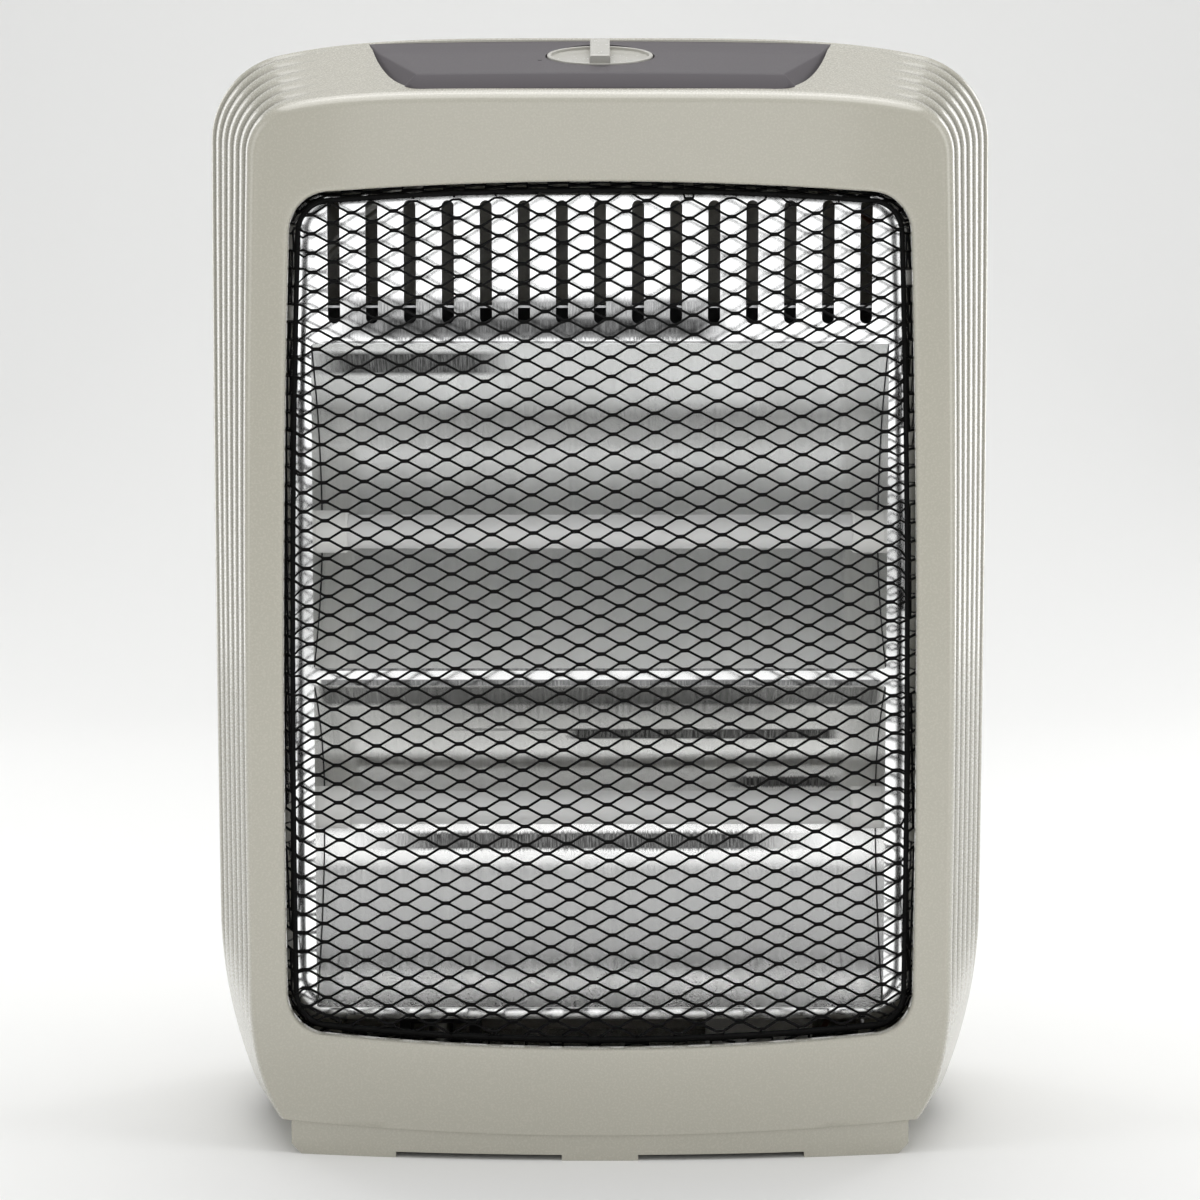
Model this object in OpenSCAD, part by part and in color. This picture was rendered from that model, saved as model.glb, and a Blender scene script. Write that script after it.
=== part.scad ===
// Electric bar heater: two quartz tubes in a bright reflector, behind a guard
// of expanded metal, in a moulded body with grooved sides.
// X runs across the front, Y from front to back and Z up. The origin lies on
// the floor under the middle of the body. Depths are counted from the
// foremost point of the front face.

/* [Body] */
// Height of the whole heater
body_h = 388; // [380:1:400]
// Depth of the whole heater
body_d = 146; // [140:1:160]
// Half the width at the rim, where the two covers meet
rim_half = 138.5; // [134:0.5:145]
// How much narrower the front face is than the rim, on each side
side_draft = 19.5; // [16:0.5:23]
// How far the front face's top edge lies below the body's top
face_fall = 26.5; // [22:0.5:30]
// How far the front face bows forward at its middle
face_bow = 12; // [8:0.5:16]
// Depth of the front cover, from the face to the rim
front_d = 70; // [66:1:76]
// Thickness of the moulded walls
wall = 2.5; // [2:0.1:3]
// Radius of the upper corners of the rim
rim_corner_r = 31; // [26:1:36]
// Radius of the upper corners of the front face
face_corner_r = 14.5; // [10:0.5:18]
// How much narrower the back is than the rim, on each side
back_draft = 21.5; // [16:0.5:26]
// How far the back's upper edge lies below the body's top
back_fall = 22; // [16:1:28]

/* [Grooves] */
// Number of grooves along each side
grooves = 6; // [3:1:7]
// Depth of a groove in the skin
groove_d = 0.8; // [0.3:0.1:1.2]
// Depth of the first groove behind the front face
groove_from = 19.8; // [19:0.2:24]

/* [Window] */
// Width of the face beside the window
side_border = 10; // [8:0.5:15]
// Height of the window's lower edge at the middle
window_z0 = 39.2; // [36:0.2:45]
// Height of the face above the window
top_border = 25.5; // [22:0.5:34]
// Corner radius of the window
window_r = 14; // [8:1:20]
// Depth of the window's rim behind the face
window_rim_d = 5; // [3:0.5:8]

/* [Base] */
// Height of the base under the covers
base_h = 10; // [8:0.5:14]
// How much narrower the base is than the rim, on each side
base_draft = 31; // [28:0.5:38]
// Height of the pads that the base stands on
pad_h = 2; // [1:0.25:3]
// Half the width of the middle pad
mid_pad_half = 13.2; // [8:0.2:20]
// Inner end of each side pad
side_pad_x = 70.8; // [60:0.2:80]

/* [Guard] */
// Depth of the guard's mesh behind the front face
guard_s = 3; // [2:0.5:6]
// Thickness of the guard's metal
guard_t = 0.8; // [0.6:0.1:1.2]
// Gap between the guard and the window's rim
guard_gap = 1.2; // [0.6:0.1:2]
// Length of one mesh opening
mesh_l = 32; // [26:1:40]
// Height of one mesh opening
mesh_h = 15; // [12:0.5:20]
// Width of a strand
strand_w = 1.7; // [1:0.1:2.4]

/* [Reflector] */
// Depth of the slotted plate behind the front face
plate_s = 28; // [27.5:0.5:31]
// Thickness of the plate and reflector sheets
sheet_t = 0.8; // [0.6:0.1:1.2]
// Gap between the plate's ends and the cover's walls
plate_gap = 4.14; // [3.6:0.02:6]
// Height of the plate's lower edge
plate_z0 = 43.5; // [41:0.5:46]
// How far the plate's upper edge lies below the window's
plate_drop = 4; // [2:0.5:8]
// Width of the plate beside the troughs
plate_border = 19.7; // [18.5:0.1:23]
// Depth of a trough behind the plate
trough_d = 38; // [30:1:42]
// Share of the troughs' height that the lower one takes
lower_share = 0.5032; // [0.49:0.0002:0.51]
// Width of the bar between the troughs
divider_w = 6; // [5:0.5:8]
// Lower edge of the lower trough
trough_z0 = 47.5; // [46:0.5:52]
// Height of the plate's slotted part, above the troughs
slotted_h = 51; // [48:0.5:57]
// Number of slots in the plate
slots = 15; // [7:2:17]
// Distance from slot to slot
slot_pitch = 13.1; // [8:0.1:13.5]
// Width of a slot
slot_w = 4.2; // [3:0.1:5]
// Distance from the troughs to the slots
slot_rise = 6.9; // [5:0.1:14]
// Distance from the slots to the plate's upper edge
slot_drop = 1.8; // [1.5:0.1:10]

/* [Tubes] */
// Diameter of a quartz tube
tube_dia = 12; // [10:0.5:13]
// Wall of a quartz tube
tube_wall = 1.2; // [0.8:0.1:1.6]
// Depth of the tubes behind the front face
tube_s = 48; // [46:0.5:50]
// Distance of each tube from the bar between the troughs
tube_off = 49.3; // [46:0.1:54]
// Diameter of a ceramic end cap
cap_dia = 15; // [14.5:0.1:17]
// Length of a cap inside the trough
cap_l = 11; // [9:0.5:14]
// Diameter of a heating coil
coil_dia = 7; // [5:0.5:8]

/* [Control panel] */
// Slope of the panel's top
panel_slope = 13; // [10:0.5:16]
// Depth of the panel's upper front edge
panel_edge_s = 12; // [10:0.5:14]
// How far the panel's upper front edge lies below the body's top
panel_fall = 15.4; // [14:0.2:17]
// Half the length of that edge
panel_edge_half = 62; // [54:1:66]
// Half the length of the panel's back edge
panel_back_half = 80.5; // [74:0.5:84]
// How far the panel's back edge lies in front of the rim
panel_inset = 2; // [1.5:0.25:4]

/* [Knob] */
// Diameter of the selector knob
knob_dia = 36.8; // [32:0.4:40]
// Depth of the knob's axis behind the front face
knob_s = 45; // [40:0.5:47]
// Height of the knob's rim above the panel
knob_rim_h = 1.4; // [1:0.1:2.5]
// Height of the grip bar above the panel
grip_h = 3.4; // [3:0.2:8]
// Width of the grip bar
grip_w = 7.2; // [5:0.2:10]
// Diameter of the switch shaft
shaft_dia = 6; // [5:0.5:6]

/* [Tip-over switch] */
// Diameter of the plunger's foot
plunger_dia = 10; // [8:0.5:12]
// Travel of the plunger
plunger_travel = 4; // [2:0.5:4]
// Sideways place of the tip-over switch
tip_x = -60; // [-70:1:-50]
// Depth of the tip-over switch
tip_s = 108; // [100:1:114]

/* [Fasteners] */
// Diameter of the screws
screw_dia = 3; // [2.5:0.1:3.2]
// Diameter of the screw heads
screw_head_dia = 6.4; // [5.5:0.1:6.6]
// Height of the screw heads
screw_head_h = 2.2; // [1.6:0.1:2.4]

/* [Clearances] */
// Gap between pieces that lie beside each other
gap = 0.3; // [0.2:0.05:0.4]
// Radial clearance of a turning or sliding fit
running = 0.05; // [0.02:0.01:0.09]
// Radial clearance of a screw in the hole that it passes
screw_clear = 0.3; // [0.2:0.05:0.4]

/* [Hidden] */
$fn = 32;

CREAM = [0.78, 0.77, 0.71];
PANEL_GREY = [0.5, 0.48, 0.5];
BRIGHT = [0.85, 0.86, 0.87];
STEEL = [0.62, 0.63, 0.65];
BLACK = [0.1, 0.1, 0.1];
CERAMIC = [0.93, 0.92, 0.88];

far = 2 * body_h;

face_half = rim_half - side_draft;
face_top = body_h - face_fall;
back_half = rim_half - back_draft;
back_top = body_h - back_fall;
window_half = face_half - side_border;
window_z1 = face_top - top_border;
base_half = rim_half - base_draft;
plate_z1 = window_z1 - plate_drop;
trough_z1 = plate_z1 - slotted_h;
slot_z0 = trough_z1 + slot_rise;
slot_z1 = plate_z1 - slot_drop;
panel_edge_z = body_h - panel_fall;

// Y of a point that lies s behind the foremost point of the front face
function depth(s) = s - body_d / 2;
function lerp(a, b, t) = a + (b - a) * t;
function clamp(v, lo, hi) = max(lo, min(hi, v));
function bezier(a, b, c, t) = (1 - t) * (1 - t) * a + 2 * t * (1 - t) * b + t * t * c;
function unit(v) = v / norm(v);

// A closed outline moved outwards by d, with mitred corners; the points run
// clockwise, seen with the first axis to the right and the second up
function grow(pts, d) =
    let (n = len(pts))
    [for (i = [0 : n - 1])
        let (
            a = unit(pts[i] - pts[(i + n - 1) % n]),
            b = unit(pts[(i + 1) % n] - pts[i]),
            na = [-a[1], a[0]],
            nb = [-b[1], b[0]]
        )
        pts[i] + (na + nb) * d / (1 + na * nb)
    ];

// A half outline, from its top middle to its bottom middle, made whole
function whole(half) =
    concat(half, [for (i = [len(half) - 1 : -1 : 0]) if (half[i][0] > 0) [-half[i][0], half[i][1]]]);

// ---- Outlines of the covers, seen from the front -------------------------

crown_steps = 6;
corner_steps = 9;
side_steps = 4;
foot_steps = 7;

// Right half of a cover's outline: a slightly arched top, a round corner, a
// gently bulging side, and a foot that draws in towards the base
function cover_half(top, corner_r, slope, power, half_top, half_mid, half_low, low_z, foot) =
    let (
        edge = half_top - corner_r * (1 - sin(slope)),
        drop = edge * tan(slope) / power,
        cx = edge - corner_r * sin(slope),
        cz = top - drop - corner_r * cos(slope),
        mid_z = (cz + low_z) / 2
    )
    concat(
        [for (i = [0 : crown_steps - 1])
            let (u = i / crown_steps) [edge * u, top - drop * pow(u, power)]],
        [for (i = [0 : corner_steps])
            let (a = (90 - slope) * (1 - i / corner_steps))
            [cx + corner_r * cos(a), cz + corner_r * sin(a)]],
        [for (i = [1 : side_steps])
            bezier([half_top, cz], [half_mid, mid_z], [half_low, low_z], i / side_steps)],
        [for (i = [1 : foot_steps])
            bezier([half_low, low_z], [foot[0], foot[1]], [foot[2], base_h], i / foot_steps)]
    );

crown_slope = 12;
foot_half = base_half + 1;
rim_foot_half = foot_half + 17;

face_pts = whole(cover_half(
    face_top, face_corner_r, crown_slope, 6, face_half - 3, face_half + 1.5,
    face_half, base_h + 50, [face_half + 1, base_h + 15, foot_half]));
rim_pts = whole(cover_half(
    body_h, rim_corner_r, crown_slope, 4, rim_half - 0.3, rim_half + 0.7,
    rim_half - 0.3, base_h + 62, [rim_half - 1, base_h + 30, rim_foot_half]));
back_pts = whole(cover_half(
    back_top, rim_corner_r - 4, crown_slope, 4, back_half, back_half + 1,
    back_half, base_h + 62, [back_half - 1, base_h + 30, back_half - 6]));
outline_n = len(face_pts);

// Share of the full groove depth along the outline: none on the top and foot
half_mask = concat(
    [for (i = [0 : crown_steps - 1]) 0],
    [for (i = [0 : corner_steps]) clamp(1.6 * i / corner_steps - 0.3, 0, 1)],
    [for (i = [1 : side_steps]) 1],
    [for (i = [1 : foot_steps]) clamp(1 - 2.5 * i / foot_steps, 0, 1)]
);
groove_mask = concat(half_mask, [for (i = [len(half_mask) - 1 : -1 : 1]) half_mask[i]]);

// ---- Front cover's skin ---------------------------------------------------

// The front face is part of an upright cylinder of this radius
bow_r = (face_half * face_half + face_bow * face_bow) / (2 * face_bow);
function bow_at(x) = bow_r - sqrt(bow_r * bow_r - x * x);

// How the section grows from the face outline to the rim outline: a soft
// edge first, then a straight draft
soft_edge = 0.086;
soft_rise = 0.2;
growth = [[0, 0], [0.02, 0.07], [0.05, 0.14], [soft_edge, soft_rise], [1, 1]];

side_s = bow_at(face_half);
rim_band = 3.7;
groove_pitch = (front_d - rim_band - groove_from) / (grooves - 1);
groove_start = groove_from - groove_pitch / 2;
front_stations = concat(
    [-2, -0.3, 1, 2.6, 4.2, 6, 8, 10, side_s - 0.6, side_s + 0.7],
    [for (k = [0 : 2 * grooves - 1]) groove_start + k * groove_pitch / 2],
    [front_d]
);
// The grooves are a zigzag: none of their depth halfway between two of them
function groove_at(s) = s <= groove_start || s >= front_d
    ? 0
    : 1 - abs(2 * ((s - groove_start) / groove_pitch % 1) - 1);

function front_ring(s, face, rim, cut) =
    let (out = grow(rim, 1) - rim)
    [for (i = [0 : outline_n - 1])
        let (
            bow = bow_at(face[i][0]),
            t = clamp((s - bow) / (front_d - bow), 0, 1),
            p = lerp(face[i], rim[i], lookup(t, growth)) - out[i] * cut * groove_mask[i] * groove_at(s)
        )
        [p[0], depth(s), p[1]]
    ];

// ---- Rear cover's skin ----------------------------------------------------

rear_d = body_d - front_d;
shrink = [[0, 0], [0.08, 0.02], [0.3, 0.1], [0.55, 0.24], [0.75, 0.42], [0.88, 0.62], [0.96, 0.83], [1, 1]];

function rear_ring(u, rim, back) =
    [for (i = [0 : outline_n - 1])
        let (p = lerp(rim[i], back[i], lookup(u, shrink)))
        [p[0], depth(front_d + u * rear_d), p[1]]
    ];

// A closed skin over rings of equal length, with flat ends
module skin(rings) {
    n = len(rings[0]);
    last = len(rings) - 1;
    polyhedron(
        points = [for (r = rings) for (p = r) p],
        faces = concat(
            [[for (i = [0 : n - 1]) i]],
            [for (k = [0 : last - 1]) for (i = [0 : n - 1])
                let (j = (i + 1) % n) [k * n + i, (k + 1) * n + i, k * n + j]],
            [for (k = [0 : last - 1]) for (i = [0 : n - 1])
                let (j = (i + 1) % n) [k * n + j, (k + 1) * n + i, (k + 1) * n + j]],
            [[for (i = [n - 1 : -1 : 0]) last * n + i]]
        )
    );
}

// Everything behind the bowed face, s behind its surface
module behind_face(s = 0) {
    translate([0, depth(0) + bow_r, -1])
        cylinder(r = bow_r - s, h = far + 2, $fn = 720);
}

module front_outer() {
    intersection() {
        skin([for (s = front_stations) front_ring(s, face_pts, rim_pts, groove_d)]);
        behind_face();
    }
}

// The front cover's hollow runs a little past the rim, so that it is open there
inner_stations = [0, 6, side_s, side_s + 2.9, front_d];
module front_inner() {
    face_in = grow(face_pts, -wall);
    rim_in = grow(rim_pts, -wall);
    rings = [for (s = inner_stations) front_ring(s, face_in, rim_in, 0)];
    open_end = [for (p = rings[len(rings) - 1]) [p[0], depth(front_d + 1), p[2]]];
    intersection() {
        skin(concat(rings, [open_end]));
        behind_face(wall);
    }
}

module rear_outer() {
    skin([for (e = shrink) rear_ring(e[0], rim_pts, back_pts)]);
}

module rear_inner() {
    rim_in = grow(rim_pts, -wall);
    back_in = grow(back_pts, -wall);
    back_wall = 1 - wall / rear_d;
    steps = [for (e = shrink) min(e[0], back_wall)];
    rings = [for (u = steps) if (u < back_wall) rear_ring(u, rim_in, back_in)];
    open_end = [for (p = rings[0]) [p[0], depth(front_d - 1), p[2]]];
    skin(concat([open_end], rings, [rear_ring(back_wall, rim_in, back_in)]));
}

// ---- Window, seen from the front ------------------------------------------

window_top_half = window_half - 3.5;
window_low_half = window_half - 0.4;
window_arch = 3.2;
window_pts = let (
        top_c = [window_top_half - window_r, window_z1 - window_arch - window_r],
        low_c = [window_low_half - window_r, window_z0 + window_arch + window_r]
    )
    whole(concat(
        [for (i = [0 : 5]) let (u = i / 6) [top_c[0] * u, window_z1 - window_arch * u * u]],
        [for (a = [90 : -15 : 0]) top_c + window_r * [cos(a), sin(a)]],
        [for (i = [1 : 4])
            bezier([window_top_half, top_c[1]], [window_half + 1, lerp(window_z0, window_z1, 0.54)],
                [window_low_half, low_c[1]], i / 4)],
        [for (a = [-15 : -15 : -90]) low_c + window_r * [cos(a), sin(a)]],
        [for (i = [1 : 6]) let (u = 1 - i / 6) [low_c[0] * u, window_z0 + window_arch * u * u]]
    ));

// A shape in the XZ plane, pushed back from depth s to depth e
module push_back(s, e) {
    translate([0, depth(e), 0]) rotate([90, 0, 0]) linear_extrude(e - s) children();
}

// A cylinder along Y, from depth s to depth e
module rod_y(x, z, r, s, e) {
    translate([x, depth(s), z]) rotate([-90, 0, 0]) cylinder(r = r, h = e - s);
}

// A cylinder along X, from x0 to x1
module rod_x(s, z, r, x0, x1) {
    translate([x0, depth(s), z]) rotate([0, 90, 0]) cylinder(r = r, h = x1 - x0);
}

// ---- Places that several pieces share --------------------------------------

pilot_r = screw_dia / 2 + running;
pass_r = screw_dia / 2 + screw_clear;
well_r = screw_head_dia / 2 + 0.4;

cover_screw_spots = [[rim_half - 38.5, base_h + 18], [rim_half - 33.5, back_top - 20]];
cover_boss_r = 4.5;
rear_boss_r = 5.5;
cover_screw_seat = front_d + 8;
cover_screw_tip = front_d - 18;

plate_wall_t = lookup((plate_s - side_s) / (front_d - side_s), growth);
plate_half = lerp(face_half, rim_half, plate_wall_t) - wall - plate_gap;
trough_half = plate_half - plate_border;
divider_z = lerp(trough_z0, trough_z1, lower_share);
plate_screw_x = plate_half - 4;
plate_screw_z = [trough_z0 + 14.5, divider_z, trough_z1 + 19];
plate_screw_bite = 7;
plate_boss_r = 3.8;

base_screw_x = base_half - 17.5;
base_screw_s = [32, body_d - 42];
base_screw_l = 12;
base_boss_h = 14;

shield_s = 84;
shield_half = trough_half + 8.2;
shield_z0 = trough_z0 + 0.5;
shield_z1 = trough_z1 + 13.1;
shield_screw_x = shield_half - 23;
shield_screw_z = [shield_z0 + 27, shield_z1 - 19];
shield_screw_bite = 9;
shelf_half = trough_half - 4;
shelf_s = plate_s + 5;

cheek_t = 0.8;
cheek_back_s = plate_s + sheet_t + trough_d + 4;
bracket_x = trough_half + 4.2;
bracket_t = 1.2;
neck_r = 4;
neck_end = bracket_x + 7;
tube_z = [divider_z - tube_off, divider_z + tube_off];

gland_x = base_half - 27.5;
gland_z = 40;
gland_r = 6;
gland_rim = 2.5;
gland_sink = 3;
cord_r = 3.7;

grip_half = 50;
grip_z0 = back_top - 48;
grip_z1 = back_top - 24;
grip_d = 22;

vent_n = 11;
vent_pitch = 14;
vent_w = 4;
vent_rows = [[trough_z0 + 52.5, trough_z0 + 88.5], [trough_z1 - 31, trough_z1 + 5]];

// ---- Control panel ----------------------------------------------------------

function panel_z(s) = panel_edge_z + (s - panel_edge_s) * tan(panel_slope);
knob_z = panel_z(knob_s);
panel_low_z = panel_edge_z - 18.3;
ledge_t = 2;
knob_well_d = 1.5;
pad_t = 4.2;

// The panel in plan: its front edge bows forward, its ends round into sides
// that open towards the back
panel_front_s = panel_edge_s - 5.2;
panel_side_s = 28;
panel_back_s = front_d - panel_inset;
panel_pts = let (
        corner_x = panel_edge_half - 5,
        corner = [corner_x, panel_front_s + bow_at(corner_x)],
        side = [panel_edge_half + 8.6, panel_side_s]
    )
    whole(concat(
        [[0, panel_back_s]],
        [[panel_back_half, panel_back_s]],
        [for (i = [0 : 5]) bezier(side, [panel_edge_half + 6.3, panel_front_s + 3.5], corner, i / 5)],
        [for (i = [1 : 5]) let (x = corner_x * (1 - i / 5)) [x, panel_front_s + bow_at(x)]]
    ));

module panel_prism(d, z0, z1) {
    translate([0, depth(0), z0]) linear_extrude(z1 - z0) polygon(grow(panel_pts, d));
}

// Upper corners of the sloped top: along its bowed front edge and its back
// edge, both a little crowned
panel_crown = 1.1;
panel_roof_low = panel_low_z - 9.3;
panel_roof_pts = let (back_s = panel_back_s + 2, back_x = panel_back_half + 1)
    concat(
        [for (u = [-1, -0.5, 0, 0.5, 1])
            let (x = u * panel_edge_half, s = panel_edge_s + bow_at(x))
            [x, s, panel_z(s) - panel_crown * u * u]],
        [[-back_x, back_s, panel_z(back_s) - 1], [0, back_s, panel_z(back_s)],
            [back_x, back_s, panel_z(back_s) - 1]]
    );

// The sloped top with bevelled front and ends, open-ended below
module panel_roof(drop = 0) {
    hull() for (p = panel_roof_pts) {
        fall = p[2] - panel_roof_low;
        out = abs(p[0]) < panel_edge_half ? 0 : sign(p[0]) * fall;
        forward = p[1] > panel_back_s ? 0 : fall;
        translate([p[0], depth(p[1]), p[2] - drop]) cube(0.01, center = true);
        translate([p[0] + out, depth(p[1] - forward), panel_roof_low - drop]) cube(0.01, center = true);
    }
}

// The knob's own frame: its origin on the panel, its Z along the shaft
module at_knob() {
    translate([0, depth(knob_s), knob_z]) rotate([panel_slope, 0, 0]) children();
}

// ---- Moulded pieces -----------------------------------------------------------

module front_cover() {
    color(CREAM) difference() {
        front_outer();
        difference() {
            front_inner();
            difference() {
                push_back(-1, plate_s) polygon(grow(window_pts, 2));
                behind_face(window_rim_d);
            }
            panel_prism(2.3, panel_low_z - ledge_t, far);
            for (side = [-1, 1]) {
                for (p = cover_screw_spots) rod_y(side * p[0], p[1], cover_boss_r, 0, front_d);
                for (z = plate_screw_z) rod_y(side * plate_screw_x, z, plate_boss_r, 0, plate_s);
                translate([side * base_screw_x, depth(base_screw_s[0]), base_h])
                    cylinder(r = 4, h = base_boss_h);
            }
        }
        push_back(-2, plate_s - 2) polygon(window_pts);
        panel_prism(gap, panel_low_z, far);
        panel_prism(-3.5, panel_low_z - ledge_t - 1, far);
        for (side = [-1, 1]) {
            for (p = cover_screw_spots)
                rod_y(side * p[0], p[1], pilot_r, cover_screw_tip - 1, front_d + 1);
            for (z = plate_screw_z)
                rod_y(side * plate_screw_x, z, pilot_r, plate_s - plate_screw_bite - 2, plate_s + 1);
            translate([side * base_screw_x, depth(base_screw_s[0]), base_h - 1])
                cylinder(r = pilot_r, h = base_boss_h);
        }
    }
}

module rear_cover() {
    color(CREAM) difference() {
        rear_outer();
        difference() {
            rear_inner();
            for (side = [-1, 1]) {
                for (p = cover_screw_spots)
                    rod_y(side * p[0], p[1], rear_boss_r, front_d, body_d);
                for (z = shield_screw_z)
                    rod_y(side * shield_screw_x, z, 4, shield_s + sheet_t, body_d);
                translate([side * base_screw_x, depth(base_screw_s[1]), base_h])
                    cylinder(r = 4, h = base_boss_h);
            }
            translate([-grip_half - 2, depth(body_d - grip_d - 2), grip_z0 - 2])
                cube([2 * grip_half + 4, grip_d + 2, grip_z1 - grip_z0 + 4]);
            rod_y(gland_x, gland_z, gland_r + gland_rim + 2, body_d - gland_sink - wall, body_d);
        }
        for (side = [-1, 1]) {
            for (p = cover_screw_spots) {
                rod_y(side * p[0], p[1], pass_r, front_d - 1, body_d);
                rod_y(side * p[0], p[1], well_r, cover_screw_seat, body_d + 1);
            }
            for (z = shield_screw_z)
                rod_y(side * shield_screw_x, z, pilot_r, shield_s, shield_s + shield_screw_bite + 3);
            translate([side * base_screw_x, depth(base_screw_s[1]), base_h - 1])
                cylinder(r = pilot_r, h = base_boss_h);
        }
        translate([-grip_half, depth(body_d - grip_d), grip_z0])
            cube([2 * grip_half, grip_d + 1, grip_z1 - grip_z0]);
        for (row = vent_rows) for (i = [0 : vent_n - 1])
            push_back(body_d - wall - 2, body_d + 1)
                slot((i - (vent_n - 1) / 2) * vent_pitch, row[0], row[1], vent_w);
        rod_y(gland_x, gland_z, gland_r + gap, body_d - 20, body_d + 1);
        rod_y(gland_x, gland_z, gland_r + gland_rim + gap, body_d - gland_sink, body_d + 1);
        translate([tip_x, depth(tip_s), base_h - 1])
            cylinder(r = plunger_dia / 2 + 3.2, h = wall + 2);
    }
}

// An upright slot with round ends, drawn from the front
module slot(x, z0, z1, w) {
    translate([x - w / 2, z0 + w / 2]) square([w, z1 - z0 - w]);
    for (z = [z0 + w / 2, z1 - w / 2]) translate([x, z]) circle(d = w);
}

base_front_inset = 0.6;
base_back_s = body_d - 6;
base_corner_r = 10;
base_chamfer = 3.5;
base_skirt = 2.5;
base_plate_z = base_h - 2.5;

// Plan of the base, drawn in depths; inset moves all its edges inwards
module base_plan(inset) {
    r = base_corner_r - inset;
    for (side = [-1, 1])
        translate([side * (base_half - base_corner_r), base_back_s - base_corner_r]) circle(r = r);
    translate([-base_half + inset, inset])
        square([2 * (base_half - inset), base_back_s - base_corner_r - inset]);
    translate([-base_half + base_corner_r, inset])
        square([2 * (base_half - base_corner_r), base_back_s - 2 * inset]);
}

module base() {
    color(CREAM) difference() {
        intersection() {
            union() {
                difference() {
                    translate([0, depth(0), pad_h]) linear_extrude(base_h - pad_h) base_plan(0);
                    difference() {
                        translate([0, depth(0), pad_h - 1])
                            linear_extrude(base_plate_z - pad_h + 1) base_plan(base_skirt);
                        front_strip(base_skirt);
                    }
                }
                base_pads();
                translate([tip_x, depth(tip_s), pad_h])
                    cylinder(r = plunger_dia / 2 + 2.5, h = base_h - pad_h);
            }
            behind_face(base_front_inset);
            push_back(-1, body_d + 1) polygon([
                [-base_half, base_h + 1], [base_half, base_h + 1],
                [base_half, base_chamfer], [base_half - base_chamfer, 0],
                [-base_half + base_chamfer, 0], [-base_half, base_chamfer]
            ]);
        }
        translate([tip_x, depth(tip_s), -1])
            cylinder(r = plunger_dia / 2 + running, h = base_h + 2);
        for (side = [-1, 1]) for (s = base_screw_s)
            translate([side * base_screw_x, depth(s), base_plate_z - 1])
                cylinder(r = pass_r, h = 5);
    }
}

// The bowed front wall of the base
module front_strip(t) {
    difference() {
        translate([-far, depth(-1), -1]) cube([2 * far, face_bow + t + 4, far]);
        behind_face(base_front_inset + t);
    }
}

// Pads under the base: three along the front, two at the back corners
pad_d = 16;
module base_pads() {
    for (side = [-1, 1]) {
        x0 = side > 0 ? side_pad_x : -base_half;
        translate([x0, depth(0), 0])
            cube([base_half - side_pad_x, bow_at(base_half) + pad_d, base_h - 1]);
        translate([x0, depth(base_back_s - base_corner_r - pad_d), 0])
            cube([base_half - side_pad_x, pad_d, base_h - 1]);
    }
    translate([-mid_pad_half, depth(0), 0]) cube([2 * mid_pad_half, pad_d, base_h - 1]);
}

module control_panel() {
    color(PANEL_GREY) difference() {
        intersection() {
            panel_prism(0, panel_low_z, far);
            panel_roof();
        }
        difference() {
            intersection() {
                panel_prism(-wall, panel_low_z - 1, far);
                panel_roof(wall);
            }
            at_knob() translate([0, 0, -pad_t]) cylinder(r = knob_dia / 2 + 9, h = pad_t);
        }
        at_knob() {
            translate([0, 0, -knob_well_d]) cylinder(r = knob_dia / 2 + 0.6, h = 20);
            translate([0, 0, -20]) cylinder(r = knob_hub_r + 0.4, h = 30);
            for (side = [-1, 1]) translate([side * switch_screw_x, 0, -20])
                cylinder(r = pilot_r, h = 20 - 1.2);
        }
    }
}

// ---- Knob and switch -----------------------------------------------------------

knob_hub_r = 7;
knob_low = -1.2;
hub_low = -3.9;
dish_floor = -0.2;
shaft_top = 2.2;
shaft_flat = shaft_dia / 2 - 0.75;
switch_top = -pad_t;
switch_h = 18;
switch_w = 30;
switch_l = 28;
switch_screw_x = 23;
ear_t = 2;

module d_shaft(r, flat, z0, z1) {
    difference() {
        translate([0, 0, z0]) cylinder(r = r, h = z1 - z0);
        translate([-far, flat, z0 - 1]) cube([2 * far, far, z1 - z0 + 2]);
    }
}

module selector_knob() {
    knob_r = knob_dia / 2;
    rim_w = 2.2;
    color(CREAM) at_knob() difference() {
        union() {
            rotate_extrude($fn = 96) polygon([
                [0, knob_low], [knob_r, knob_low], [knob_r, knob_rim_h - 0.5],
                [knob_r - 0.5, knob_rim_h], [knob_r - rim_w, knob_rim_h],
                [knob_r - rim_w - 0.8, knob_rim_h - 0.6], [knob_r - 6, dish_floor], [0, dish_floor]
            ]);
            intersection() {
                translate([-grip_w / 2, -knob_r, knob_low]) cube([grip_w, 2 * knob_r, grip_h - knob_low]);
                translate([0, 0, knob_low]) cylinder(r = knob_r - 0.3, h = far);
            }
            translate([0, 0, hub_low]) cylinder(r = knob_hub_r, h = knob_low - hub_low);
        }
        d_shaft(shaft_dia / 2 + running, shaft_flat + running, hub_low - 1, shaft_top + gap);
    }
}

module switch_shaft() {
    color(STEEL) at_knob() {
        d_shaft(shaft_dia / 2, shaft_flat, hub_low, shaft_top);
        translate([0, 0, switch_top - 12]) cylinder(r = shaft_dia / 2, h = hub_low - switch_top + 12);
    }
}

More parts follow.
